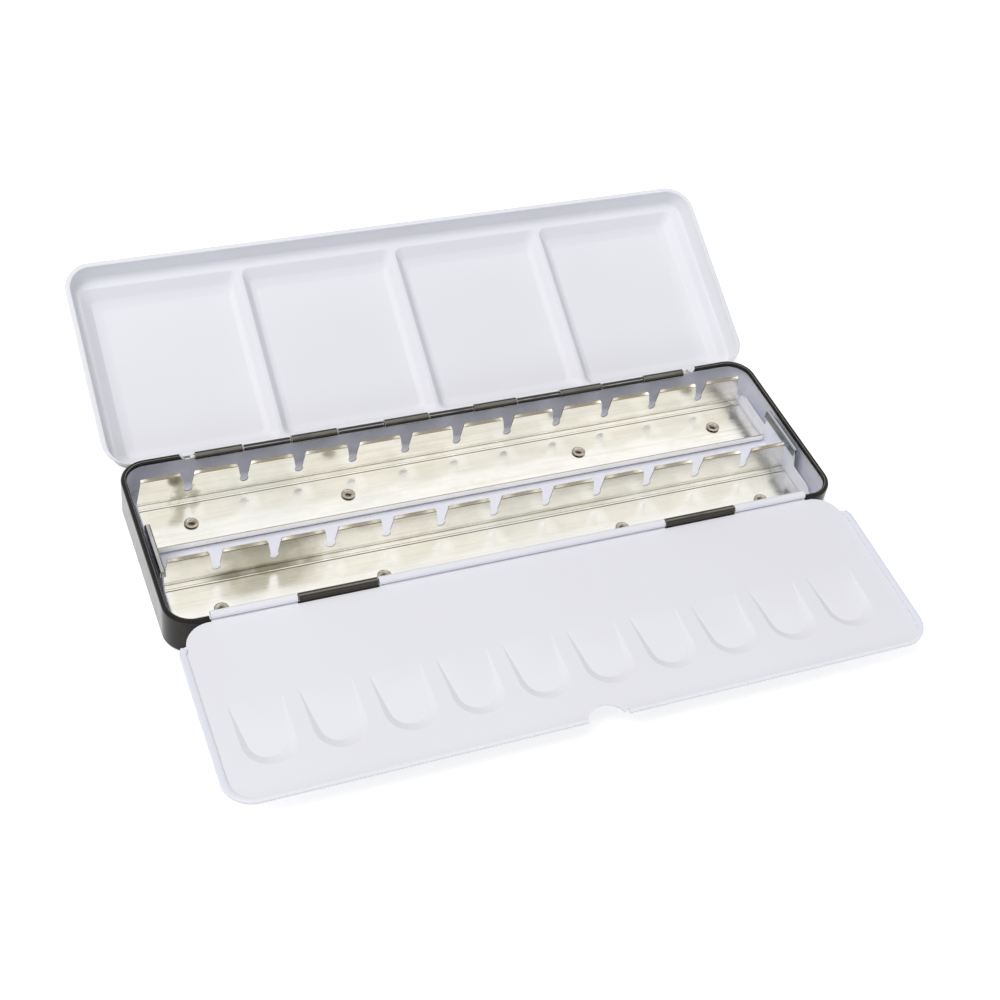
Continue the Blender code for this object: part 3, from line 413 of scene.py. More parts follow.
# painted highlights: lighter lacquers laid as thin bands along the hinge tubes and the bead
LACQUER_SHEEN = Lacquer("worn lacquer", "black_lacquer", (0.150, 0.138, 0.115), 0.20, worn=(0.07, 0.06, 0.05))
PALE_SHEEN = Lacquer("rubbed lacquer", "black_lacquer", (0.42, 0.41, 0.39), 0.20, worn=(0.12, 0.11, 0.10))
# rail plates with painted reflections of their tabs and slots
REAR_PLATE = RailPlate(
    "rear rail plate", "tinplate", (0.99, 0.975, 0.92), 0.19, metallic=1.0, wall=0.0252, dark_spot=(-0.0905, 0.026, 0.0035)
)
FRONT_PLATE = RailPlate(
    "front rail plate", "tinplate", (0.99, 0.975, 0.92), 0.19, metallic=1.0, wall=-0.0084,
    dark_spot=(-0.071, -0.0075, 0.021),
)
# painted shade: dark steel colour laid on the rib's two edges
RAIL_CREASE_SHADE = BareSteel("rail crease", "tinplate", (0.30, 0.27, 0.20), 0.40, metallic=1.0)
# painted dark reflection on the bent-back top of the tabs
RAIL_TAB_EDGE = TabEdge("rail tab edge", "tinplate", (0.90, 0.88, 0.80), 0.14, metallic=1.0)
# painted shade: a dimmer copy of the tinplate for the rail's upturned lip
RAIL_LIP_SHADE = Tinplate(
    "rail lip", "tinplate", (0.70, 0.69, 0.65), 0.22, metallic=1.0,
    dull=(0.55, 0.54, 0.50), cool=(0.50, 0.52, 0.54), streak=(0.50, 0.45, 0.36),
)
RAIL_EDGE = BareSteel("rail edge", "tinplate", (0.42, 0.38, 0.26), 0.32, metallic=1.0)
RAIL_FINISHES = (RAIL_CREASE_SHADE, RAIL_TAB_EDGE, RAIL_LIP_SHADE, RAIL_EDGE)
# painted light on the grips: a lighter tinplate for the highlight along the top fold, a darker one for the painted
# shade on the flanks
GRIP_LIT_TOP = Tinplate(
    "grip plate", "grip_steel", (0.50, 0.51, 0.50), 0.16, metallic=1.0,
    dull=(0.38, 0.38, 0.36), cool=(0.40, 0.44, 0.50), streak=(0.44, 0.42, 0.34),
)
GRIP_SHADED_SIDE = Tinplate(
    "grip side", "grip_steel", (0.20, 0.21, 0.22), 0.20, metallic=1.0,
    dull=(0.13, 0.13, 0.12), cool=(0.22, 0.26, 0.32), streak=(0.16, 0.15, 0.12),
)
RIVET_STEEL = BareSteel("rivet steel", "rivet_steel", (0.46, 0.42, 0.35), 0.24, metallic=1.0)
PIN_STEEL = BareSteel("pin steel", "pin_steel", (0.70, 0.69, 0.66), 0.22, metallic=1.0)


def arc(centre: Point, radius: float, start: float, end: float, steps: int) -> list[Point]:
    """Returns points on an arc.

    Args:
        centre: Middle of the arc.
        radius: Its radius.
        start: First angle, in radians.
        end: Last angle.
        steps: Number of chords.

    Returns:
        The points, both ends included.
    """
    angles = (start + (end - start) * step / steps for step in range(steps + 1))
    return [(centre[0] + radius * math.cos(a), centre[1] + radius * math.sin(a)) for a in angles]


def rounded_rectangle(low: Point, high: Point, radius: float, height: float, steps: int = 16) -> Ring:
    """Returns the ring of a rectangle with round corners, at one height.

    Args:
        low: Lowest X and Y.
        high: Highest X and Y.
        radius: Radius of the corners.
        height: Z of the ring.
        steps: Chords in each corner.

    Returns:
        The ring's points, anticlockwise.
    """
    corners = (
        (high[0] - radius, high[1] - radius),
        (low[0] + radius, high[1] - radius),
        (low[0] + radius, low[1] + radius),
        (high[0] - radius, low[1] + radius),
    )
    ring: Ring = []
    for index, centre in enumerate(corners):
        start = index * math.pi / 2
        ring += [Vector((x, y, height)) for x, y in arc(centre, radius, start, start + math.pi / 2, steps)]
    return ring


def sides_of(path: Sequence[Point]) -> list[tuple[Vector, Vector]]:
    """Returns each point of a path with the mitred way to its left.

    Args:
        path: Points of an open path.

    Returns:
        Pairs of a point and the step to its left that keeps a distance of 1 from the path.
    """
    points = [Vector(point) for point in path]
    last = len(points) - 1
    result = []
    for index, point in enumerate(points):
        run_in = (point - points[index - 1]).normalized() if index else (points[1] - point).normalized()
        run_out = (points[index + 1] - point).normalized() if index < last else run_in
        mean = (run_in + run_out).normalized()
        result.append((point, Vector((-mean.y, mean.x)) / mean.dot(run_in)))
    return result


def sheet_outline(path: Sequence[Point], thickness: float) -> list[Point]:
    """Returns the outline of a bent sheet, half its thickness to each side of a path."""
    sides = sides_of(path)
    left = [tuple(point + side * thickness / 2) for point, side in sides]
    right = [tuple(point - side * thickness / 2) for point, side in sides]
    return left + right[::-1]


def bend(path: Sequence[Point], radii: Sequence[float], steps: int = 6) -> list[Point]:
    """Rounds the inner corners of a path.

    Args:
        path: Points of an open path.
        radii: Radius at each inner point.
        steps: Chords in each bend.

    Returns:
        The path with its corners rounded.
    """
    points = [Vector(point) for point in path]
    result = [tuple(points[0])]
    for index, radius in enumerate(radii, start=1):
        corner = points[index]
        before = (points[index - 1] - corner).normalized()
        after = (points[index + 1] - corner).normalized()
        half = before.angle(after) / 2
        reach = radius / math.tan(half)
        start, end = corner + before * reach, corner + after * reach
        for step in range(steps + 1):
            share = step / steps
            inner = start.lerp(corner, share)
            result.append(tuple(inner.lerp(corner.lerp(end, share), share)))
    result.append(tuple(points[-1]))
    return result


def along_x(along: float, across: float, height: float) -> Vector:
    """Places an outline of Y and Z values along X."""
    return Vector((along, across, height))


def along_y(along: float, across: float, height: float) -> Vector:
    """Places an outline of X and Z values along Y."""
    return Vector((across, along, height))


def along_z(along: float, across: float, outward: float) -> Vector:
    """Places an outline of X and Y values along Z."""
    return Vector((across, outward, along))


class Shape:
    """A mesh under construction, whose faces carry the index of their finish."""

    def __init__(self) -> None:
        """Starts an empty mesh."""
        self.mesh = bmesh.new()

    def loft(
        self, rings: Sequence[Ring], slots: Sequence[int] | int = 0, closed: bool = False,
        edges: Sequence[int] | None = None,
    ) -> None:
        """Adds a closed solid through rings of points.

        Args:
            rings: Rings with the same number of points.
            slots: Finish of each band between two rings, or one for all.
            closed: Whether the last ring joins the first, instead of a cap on each.
            edges: Finish of the faces on each edge of the rings, in place of the bands' own.
        """
        loops = [[self.mesh.verts.new(point) for point in ring] for ring in rings]
        bands = len(loops) if closed else len(loops) - 1
        marks = [slots] * bands if isinstance(slots, int) else list(slots)
        count = len(loops[0])
        for band in range(bands):
            low, high = loops[band], loops[(band + 1) % len(loops)]
            for index in range(count):
                after = (index + 1) % count
                face = self.mesh.faces.new((low[index], low[after], high[after], high[index]))
                face.material_index = edges[index] if edges else marks[band]
        if not closed:
            self.mesh.faces.new(loops[0][::-1]).material_index = marks[0]
            self.mesh.faces.new(loops[-1]).material_index = marks[-1]

    def prism(
        self, outline: Sequence[Point], start: float, end: float, place: Callable[..., Vector], slot: int = 0
    ) -> None:
        """Adds an outline that runs straight from start to end.

        Args:
            outline: Points of the closed outline.
            start: Where the prism starts.
            end: Where it ends.
            place: Turns a distance and an outline point into a place.
            slot: Finish of its faces.
        """
        self.loft([[place(along, *point) for point in outline] for along in (start, end)], slot)

    def turn(self, profile: Sequence[Point], steps: int) -> None:
        """Adds a closed profile of radius and height values, turned about Z."""
        rings = []
        for step in range(steps):
            angle = math.tau * step / steps
            spoke = Vector((math.cos(angle), math.sin(angle), 0))
            rings.append([spoke * radius + Vector((0, 0, height)) for radius, height in profile])
        self.loft(rings, closed=True)

    def piece(self, name: str, finishes: Sequence[Finish]) -> bpy.types.Object:
        """Turns the shape into an object.

        Args:
            name: Name of the object.
            finishes: Finishes by index.

        Returns:
            The new object.
        """
        bmesh.ops.recalc_face_normals(self.mesh, faces=self.mesh.faces)
        mesh = bpy.data.meshes.new(name)
        self.mesh.to_mesh(mesh)
        self.mesh.free()
        for finish in finishes:
            mesh.materials.append(finish.material())
        made = bpy.data.objects.new(name, mesh)
        bpy.context.scene.collection.objects.link(made)
        return made


def bake(piece: bpy.types.Object) -> bpy.types.Object:
    """Makes a piece's modifiers part of its mesh, and removes them."""
    bpy.context.view_layer.update()
    evaluated = piece.evaluated_get(bpy.context.evaluated_depsgraph_get())
    piece.data = bpy.data.meshes.new_from_object(evaluated)
    piece.data.name = piece.name
    piece.modifiers.clear()
    return piece


def combine(piece: bpy.types.Object, tool: bpy.types.Object, cut: Cut) -> bpy.types.Object:
    """Cuts a helper shape out of a piece, or joins it, and removes the helper.

    Args:
        piece: The piece to change.
        tool: The helper shape.
        cut: What the helper does.

    Returns:
        The piece.
    """
    modifier = piece.modifiers.new(tool.name, "BOOLEAN")
    modifier.operation = cut.value
    modifier.solver = "EXACT"
    modifier.material_mode = "TRANSFER"
    modifier.object = tool
    bake(piece)
    bpy.data.objects.remove(tool)
    return piece


@dataclass(frozen=True)
class Row:
    """A Geometry Nodes tree that sets copies of a template in a straight, even row.

    Args:
        count: Number of copies.
        start: Place of the first copy.
        step: Way from each copy to the next.
    """

    count: int
    start: tuple[float, float, float]
    step: tuple[float, float, float]

    @staticmethod
    def tree() -> bpy.types.NodeTree:
        """Returns the tree, built once, with named inputs for template, count, start, step and finish."""
        found = bpy.data.node_groups.get("even row")
        if found is not None:
            return found
        tree = bpy.data.node_groups.new("even row", "GeometryNodeTree")
        sockets = (
            ("Template", "NodeSocketObject"), ("Count", "NodeSocketInt"), ("Start", "NodeSocketVector"),
            ("Step", "NodeSocketVector"), ("Finish", "NodeSocketMaterial"),
        )
        for name, kind in sockets:
            tree.interface.new_socket(name, in_out="INPUT", socket_type=kind)
        tree.interface.new_socket("Geometry", in_out="OUTPUT", socket_type="NodeSocketGeometry")
        given = tree.nodes.new("NodeGroupInput")
        line = tree.nodes.new("GeometryNodeMeshLine")
        info = tree.nodes.new("GeometryNodeObjectInfo")
        copies = tree.nodes.new("GeometryNodeInstanceOnPoints")
        solid = tree.nodes.new("GeometryNodeRealizeInstances")
        dress = tree.nodes.new("GeometryNodeSetMaterial")
        result = tree.nodes.new("NodeGroupOutput")
        for source, target in (
            (given.outputs["Count"], line.inputs["Count"]),
            (given.outputs["Start"], line.inputs["Start Location"]),
            (given.outputs["Step"], line.inputs["Offset"]),
            (given.outputs["Template"], info.inputs["Object"]),
            (line.outputs["Mesh"], copies.inputs["Points"]),
            (info.outputs["Geometry"], copies.inputs["Instance"]),
            (copies.outputs["Instances"], solid.inputs["Geometry"]),
            (solid.outputs["Geometry"], dress.inputs["Geometry"]),
            (given.outputs["Finish"], dress.inputs["Material"]),
            (dress.outputs["Geometry"], result.inputs["Geometry"]),
        ):
            tree.links.new(source, target)
        return tree

    def lay(self, name: str, template: Shape, finish: Finish) -> bpy.types.Object:
        """Lays the row out as one plain mesh.

        Args:
            name: Name of the piece.
            template: The shape to copy.
            finish: Finish of every copy.

        Returns:
            The piece, with the tree's result as its mesh.
        """
        model = template.piece(f"{name}_template", [finish])
        piece = bpy.data.objects.new(name, bpy.data.meshes.new(name))
        bpy.context.scene.collection.objects.link(piece)
        modifier = piece.modifiers.new("even row", "NODES")
        modifier.node_group = self.tree()
        values = {
            "Template": model, "Count": self.count, "Start": self.start, "Step": self.step,
            "Finish": finish.material(),
        }
        for item in modifier.node_group.interface.items_tree:
            if item.in_out == "INPUT":
                modifier[item.identifier] = values[item.name]
        bake(piece)
        bpy.data.objects.remove(model)
        return piece


def centred_row(count: int, pitch: float, shift: float = 0.0) -> Row:
    """Returns a row along X about the middle of the box."""
    return Row(count, (shift - (count - 1) / 2 * pitch, 0.0, 0.0), (pitch, 0.0, 0.0))


def hand_over(
    piece: bpy.types.Object, body: Body, slot: str, nodes: Sequence[str] = (),
    turn: Matrix | None = None, sharp: float = 32.0,
) -> bpy.types.Object:
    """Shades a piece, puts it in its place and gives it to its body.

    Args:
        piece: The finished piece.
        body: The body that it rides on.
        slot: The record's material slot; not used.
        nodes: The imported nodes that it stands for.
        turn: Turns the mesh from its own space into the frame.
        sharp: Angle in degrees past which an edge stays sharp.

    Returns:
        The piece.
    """
    if turn is not None:
        piece.data.transform(turn)
    piece.data.shade_smooth()
    piece.data.set_sharp_from_angle(angle=math.radians(sharp))
    modifier = piece.modifiers.new("even shading", "WEIGHTED_NORMAL")
    modifier.keep_sharp = True
    modifier.weight = 80
    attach(piece, body.value)
    if nodes:
        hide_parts(*nodes)
    LOG.info("%s rides on %s, %d faces", piece.name, body.value, len(piece.data.polygons))
    return piece


@dataclass
class HingeTubes:
    """The rolled tubes of both hinges."""

    radius: float = 0.00125
    sheet: float = 0.0004
    curl: float = math.radians(300)
    gap: float = 0.0003
    skin: float = 0.00003
    steps: int = 40

    @property
    def bore(self) -> float:
        """Inner radius of a tube."""
        return self.radius - self.sheet

    def outline(self, leaf: Sequence[Point]) -> list[Point]:
        """Returns the outline of a rolled tube whose leaf hangs down on its + side.

        Args:
            leaf: Points of the leaf, from the tube's bore side round to its outside.

        Returns:
            The closed outline about (0, 0).
        """
        outer = arc((0, 0), self.radius, 0, self.curl, self.steps)
        inner = arc((0, 0), self.bore, self.curl, 0, self.steps)
        return outer + inner + list(leaf)

    def straight(self, drop: float) -> list[Point]:
        """Returns the end of a leaf that hangs straight down."""
        return [(self.bore, -drop), (self.radius, -drop)]

    def band(self, axis: Point, start: float, end: float) -> list[Point]:
        """Returns the outline of a thin band on the tubes' outside: a painted highlight, or the bare sheet edge.

        Args:
            axis: Middle of the tubes.
            start: Where the band starts, in degrees round the tube.
            end: Where it ends.

        Returns:
            The closed outline of a thin skin.
        """
        low, high = math.radians(start), math.radians(end)
        return arc(axis, self.radius + self.skin, low, high, 6) + arc(axis, self.radius - self.skin, high, low, 6)


@dataclass
class BaseTray:
    """The drawn tray with its rolled rim, and its tubes of both hinges."""

    tubes: HingeTubes
    rear_tubes: HingeTubes
    length: float = 0.2150
    depth: float = 0.0672
    corner: float = 0.0085
    sheet: float = 0.00045
    floor_radius: float = 0.0015
    rim: float = 0.0138
    bead: float = 0.0009
    sheen_step: int = 8
    axis_inset: float = 0.00135
    rear_axis_drop: float = 0.0013
    rear_wall: float = 0.0110
    front_wall: float = 0.0121
    rear_gap_top: float = 0.0882
    rear_gap_low: float = 0.0861
    rear_knuckles: int = 11
    rear_margin: float = 0.0024
    front_hinge: float = 0.0953
    front_end: float = 0.0253
    front_base: float = 0.0240
    front_margin: float = 0.0004
    sink: float = 0.0006
    end_skin: float = 0.00002
    overrun: float = 0.002

    @property
    def rear_axis(self) -> Vector:
        """A point on the lid's hinge axis."""
        return Vector((0, self.depth / 2 - self.axis_inset, self.rim - self.rear_axis_drop))

    @property
    def front_axis(self) -> Vector:
        """A point on the flap's hinge axis."""
        return Vector((0, -self.depth / 2 + self.axis_inset, self.rim))

    @property
    def rear_pitch(self) -> float:
        """Distance from one rear tube to the next."""
        return (self.rear_gap_low - self.rear_margin) * 2 / self.rear_knuckles

    def ring(self, inset: float, height: float) -> Ring:
        """Returns the tray's ring at an inset from its outside."""
        half_x, half_y = self.length / 2 - inset, self.depth / 2 - inset
        return rounded_rectangle((-half_x, -half_y), (half_x, half_y), self.corner - inset, height, 20)

    def shell(self) -> bpy.types.Object:
        """Builds the tray's shell, black outside and white inside with a painted shade tint, and a painted highlight
        line along the bead.
        """
        rings, slots = [], []
        outer = (self.floor_radius, self.floor_radius)
        for inset, height in arc(outer, self.floor_radius, -math.pi / 2, -math.pi, 6):
            rings.append(self.ring(inset, height))
            slots.append(0)
        sheen = len(slots) + self.sheen_step
        bead = (self.bead, self.rim - self.bead)
        meet = math.acos((self.sheet - self.bead) / self.bead)
        for inset, height in arc(bead, self.bead, math.pi, -meet, 22):
            rings.append(self.ring(inset, height))
            slots.append(0)
        slots[-1] = 1
        # painted highlight: one band of the bead takes the lighter sheen lacquer
        slots[sheen] = 2
        for inset, height in arc(outer, self.floor_radius - self.sheet, -math.pi, -math.pi / 2, 6):
            rings.append(self.ring(inset, height))
            slots.append(1)
        shape = Shape()
        shape.loft(rings, slots[: len(rings) - 1])
        return shape.piece("tray_shell", [BLACK_LACQUER, SHADED_INSIDE_ENAMEL, LACQUER_SHEEN])

    def rim_gap(self, name: str, side: int, top: float, low: float, floor: float, finish: Finish) -> bpy.types.Object:
        """Builds the cutter that opens the rim for a hinge, with slanted ends."""
        inner = self.depth / 2 - self.bead * 2 - self.overrun
        outer = self.depth / 2 + self.overrun
        flare = (top - low) * (self.rim - floor + self.overrun) / (self.rim - floor)
        above = self.rim + self.overrun
        outline = ((-low, floor), (low, floor), (low + flare, above), (-low - flare, above))
        shape = Shape()
        shape.prism(outline, side * inner, side * outer, along_y)
        return shape.piece(name, [finish])

    def build(self) -> None:
        """Builds the tray and its tubes, and hands them over."""
        shell = self.shell()
        rear = self.rim_gap("rear_gap", 1, self.rear_gap_top, self.rear_gap_low, self.rear_wall, SHADED_INSIDE_ENAMEL)
        combine(shell, rear, Cut.REMOVE)
        half = self.front_hinge + self.front_margin
        combine(shell, self.rim_gap("front_gap", -1, half, half, self.front_wall, BLACK_LACQUER), Cut.REMOVE)
        hand_over(shell, Body.BASE, "black_lacquer", ["base_tray"])

        tubes = self.rear_tubes
        length = self.rear_pitch - tubes.gap
        outline = tubes.outline(tubes.straight(self.rear_axis.z - self.rear_wall + self.sink))
        placed = [(self.rear_axis.y + p, self.rear_axis.z + q) for p, q in outline]
        count = (self.rear_knuckles + 1) // 2
        row = centred_row(count, self.rear_pitch * 2)
        barrel, ends = self.tube_shapes(placed, length)
        hand_over(row.lay("rear_tray_tubes", barrel, TUBE_LACQUER), Body.BASE, "black_lacquer")
        hand_over(row.lay("rear_tray_tube_ends", ends, PIN_STEEL), Body.BASE, "pin_steel")

        axis = (self.rear_axis.y, self.rear_axis.z)
        # the sheen band is a painted highlight along the tubes; the edge band is their bare sheet edge
        for name, finish, start, end in (
            ("rear_tube_sheen", LACQUER_SHEEN, 100, 140), ("rear_tube_edges", PIN_STEEL, 186, 200)
        ):
            strip = Shape()
            strip.prism(tubes.band(axis, start, end), -length / 2, length / 2, along_x)
            hand_over(row.lay(name, strip, finish), Body.BASE, finish.slot)

        tubes = self.tubes
        outline = tubes.outline(tubes.straight(self.front_axis.z - self.front_wall + self.sink))
        placed = [(self.front_axis.y - p, self.front_axis.z + q) for p, q in outline]
        length = self.front_base - tubes.gap
        barrel, ends = self.tube_shapes(placed, length)
        middle = self.front_hinge - self.front_end - length / 2
        row = Row(2, (-middle, 0.0, 0.0), (middle * 2, 0.0, 0.0))
        hand_over(row.lay("front_tray_tubes", barrel, TUBE_LACQUER), Body.BASE, "black_lacquer")
        hand_over(row.lay("front_tray_tube_ends", ends, PIN_STEEL), Body.BASE, "pin_steel")
        # painted highlight along the front tubes
        sheen = Shape()
        sheen.prism(tubes.band((self.front_axis.y, self.front_axis.z), 95, 118), -length / 2, length / 2, along_x)
        hand_over(row.lay("front_tube_sheen", sheen, LACQUER_SHEEN), Body.BASE, "black_lacquer")

    def tube_shapes(self, outline: Sequence[Point], length: float) -> tuple[Shape, Shape]:
        """Returns a tube about X 0 from its outline, and the thin bare faces on its two ends."""
        half = length / 2
        barrel, ends = Shape(), Shape()
        barrel.prism(outline, -half, half, along_x)
        for side in (-1, 1):
            ends.prism(outline, side * half, side * (half + self.end_skin), along_x)
        return barrel, ends


@dataclass
class Lid:
    """The drawn lid with its mixing wells, its bead and its tubes."""

    base: BaseTray
    tubes: HingeTubes
    open_angle: float = math.radians(25.15)
    side_overhang: float = 0.0024
    front_overhang: float = 0.004745
    sheet: float = 0.00045
    rear_face: float = 0.00125
    corner: float = 0.0077
    bead: float = 0.0006
    bead_out: float = 0.00125
    bead_drop: float = 0.00235
    ledge: float = 0.0070
    draft: float = 0.0012
    rear_draft_share: float = 0.5
    ledge_radius: float = 0.0012
    leaf_drop: float = 0.0009
    well_count: int = 4
    well_margin: float = 0.0054
    well_crest: float = 0.0010
    well_rear: float = 0.0038
    well_far_margin: float = 0.0066
    well_shift: float = -0.0011
    well_depth: float = 0.0030
    outer_slope: float = 0.0069
    inner_slope: float = 0.0044
    well_corner: float = 0.0026
    well_floor_corner: float = 0.0015
    well_lip: float = 0.00035
    well_lip_rise: float = 0.00004
    crest_shares: tuple[Point, ...] = ((0.02, 0.008), (0.05, 0.035), (0.09, 0.09), (0.47, 0.70))
    slope_break: Point = (0.52, 0.76)
    slope_steps: int = 6

    @property
    def half_length(self) -> float:
        """Half the lid's length, over the bead."""
        return self.base.length / 2 + self.side_overhang

    @property
    def reach(self) -> float:
        """From the hinge axis over the bead."""
        return self.base.depth - self.base.axis_inset + self.front_overhang

    @property
    def well_pitch(self) -> float:
        """Distance from one mixing well to the next."""
        return ((self.half_length - self.well_margin) * 2 + self.well_crest) / self.well_count

    def ring(self, height: float, out: float = 0.0, draft: float = 0.0, inset: float = 0.0) -> Ring:
        """Returns a ring of the lid.

        Args:
            height: Z of the ring in the lid's own space.
            out: How far the bead stands out; the rear side leaves it out.
            draft: How far the wall has drawn in.
            inset: Distance from the outside.

        Returns:
            The ring's points.
        """
        half = self.half_length - self.bead_out + out - draft - inset
        far = self.reach - self.bead_out + out - draft - inset
        near = self.rear_face + draft * self.rear_draft_share + inset
        return rounded_rectangle((-half, near), (half, far), self.corner + out - draft - inset, height, 20)

    def shell(self) -> bpy.types.Object:
        """Builds the lid's shell without its wells: black backs, white bead and inside."""
        rings, slots = [], []
        back = -self.ledge - self.sheet
        for inset, height in arc((self.ledge_radius, back + self.ledge_radius), self.ledge_radius, -math.pi / 2, -math.pi, 6):
            rings.append(self.ring(height, draft=self.draft, inset=inset))
            slots.append(0)
        rim = -self.bead_drop + self.bead
        wall_top = -self.bead_drop - self.bead - self.sheet / 2
        rings.append(self.ring(wall_top))
        slots.append(1)
        start, end = math.radians(-75), math.radians(80)
        for out, height in arc((self.bead_out - self.bead, -self.bead_drop), self.bead, start, end, 14):
            rings.append(self.ring(height, out=out))
            slots.append(1)
        for inset, height in ((0.5, 0.0), (0.8, 0.2), (1.0, 0.6)):
            rings.append(self.ring(rim - self.sheet * height, inset=self.sheet * inset))
            slots.append(1)
        rings.append(self.ring(wall_top, inset=self.sheet))
        slots.append(1)
        inner = (self.sheet + self.ledge_radius, -self.ledge + self.ledge_radius)
        for inset, height in arc(inner, self.ledge_radius, math.pi, math.pi * 3 / 2, 8):
            rings.append(self.ring(height, draft=self.draft, inset=inset))
            slots.append(1)
        shape = Shape()
        shape.loft(rings, slots[: len(rings) - 1])
        return shape.piece("lid_shell", [BLACK_LACQUER, WHITE_ENAMEL])

    def well_side(self) -> list[Point]:
        """Returns the side of a well as shares of its run and its depth.

        A rounded crest runs into a steep slope, which breaks into a hollow that ends in a crease.
        """
        run, fall = self.slope_break
        side = list(self.crest_shares)
        for step in range(self.slope_steps + 1):
            share = step / self.slope_steps
            side.append((run + (1 - run) * share, fall + (1 - fall) * share * (1.5 - share / 2)))
        return side

    def well_rings(self, index: int, sheet: float) -> list[Ring]:
        """Returns the rings of one well's space, or of its back where a sheet thickness is given."""
        middle = self.well_shift + (index - (self.well_count - 1) / 2) * self.well_pitch
        half = (self.well_pitch - self.well_crest) / 2
        far = self.reach - self.well_far_margin
        left = self.outer_slope if index == 0 else self.inner_slope
        right = self.outer_slope if index == self.well_count - 1 else self.inner_slope

        def ring(share: float, depth: float, grow: float) -> Ring:
            low = (middle - half + left * share - grow, self.well_rear + self.inner_slope * share - grow)
            high = (middle + half - right * share + grow, far - self.outer_slope * share + grow)
            radius = self.well_corner + (self.well_floor_corner - self.well_corner) * share + grow
            return rounded_rectangle(low, high, radius, -self.ledge - depth, 10)

        if sheet:
            rings = [ring(0.0, sheet / 2, sheet)]
        else:
            rings = [ring(0.0, -self.well_lip_rise, self.well_lip)]
        for share, fall in self.well_side():
            rings.append(ring(share, self.well_depth * fall + sheet, sheet * (1 - share)))
        return rings

    def wells(self, name: str, sheet: float, finish: Finish) -> bpy.types.Object:
        """Builds the spaces of all wells, or their backs, as one helper shape."""
        shape = Shape()
        for index in range(self.well_count):
            shape.loft(self.well_rings(index, sheet))
        return shape.piece(name, [finish])

    def tube(self) -> tuple[Shape, Shape]:
        """Returns one tube of the lid with its jogged leaf, about X 0, and its two bare ends."""
        tubes = self.tubes
        rim = -self.bead_drop + self.bead
        step = self.sheet / 20
        leaf = [
            (tubes.bore, -self.leaf_drop),
            (self.rear_face + step, rim - self.base.sink),
            (self.rear_face + self.sheet - step, rim - self.base.sink),
            (tubes.radius, -self.leaf_drop + tubes.sheet / 2),
        ]
        return self.base.tube_shapes(tubes.outline(leaf), self.base.rear_pitch - tubes.gap)

    def build(self) -> None:
        """Builds the lid and its tubes, and hands them over."""
        place = Matrix.Translation(self.base.rear_axis) @ Matrix.Rotation(self.open_angle, 4, "X")
        shell = self.shell()
        combine(shell, self.wells("well_backs", self.sheet, BLACK_LACQUER), Cut.JOIN)
        combine(shell, self.wells("well_spaces", 0.0, WHITE_ENAMEL), Cut.REMOVE)
        hand_over(shell, Body.LID, "white_enamel", ["lid"], place)
        row = centred_row((self.base.rear_knuckles - 1) // 2, self.base.rear_pitch * 2)
        barrel, ends = self.tube()
        hand_over(row.lay("lid_tubes", barrel, TUBE_LACQUER), Body.LID, "black_lacquer", (), place)
        hand_over(row.lay("lid_tube_ends", ends, PIN_STEEL), Body.LID, "pin_steel", (), place)
        # painted highlight line along the lid's tubes
        half = (self.base.rear_pitch - self.tubes.gap) / 2
        sheen = Shape()
        sheen.prism(self.tubes.band((0.0, 0.0), 98, 112), -half, half, along_x)
        hand_over(row.lay("lid_tube_sheen", sheen, PALE_SHEEN), Body.LID, "black_lacquer", (), place)


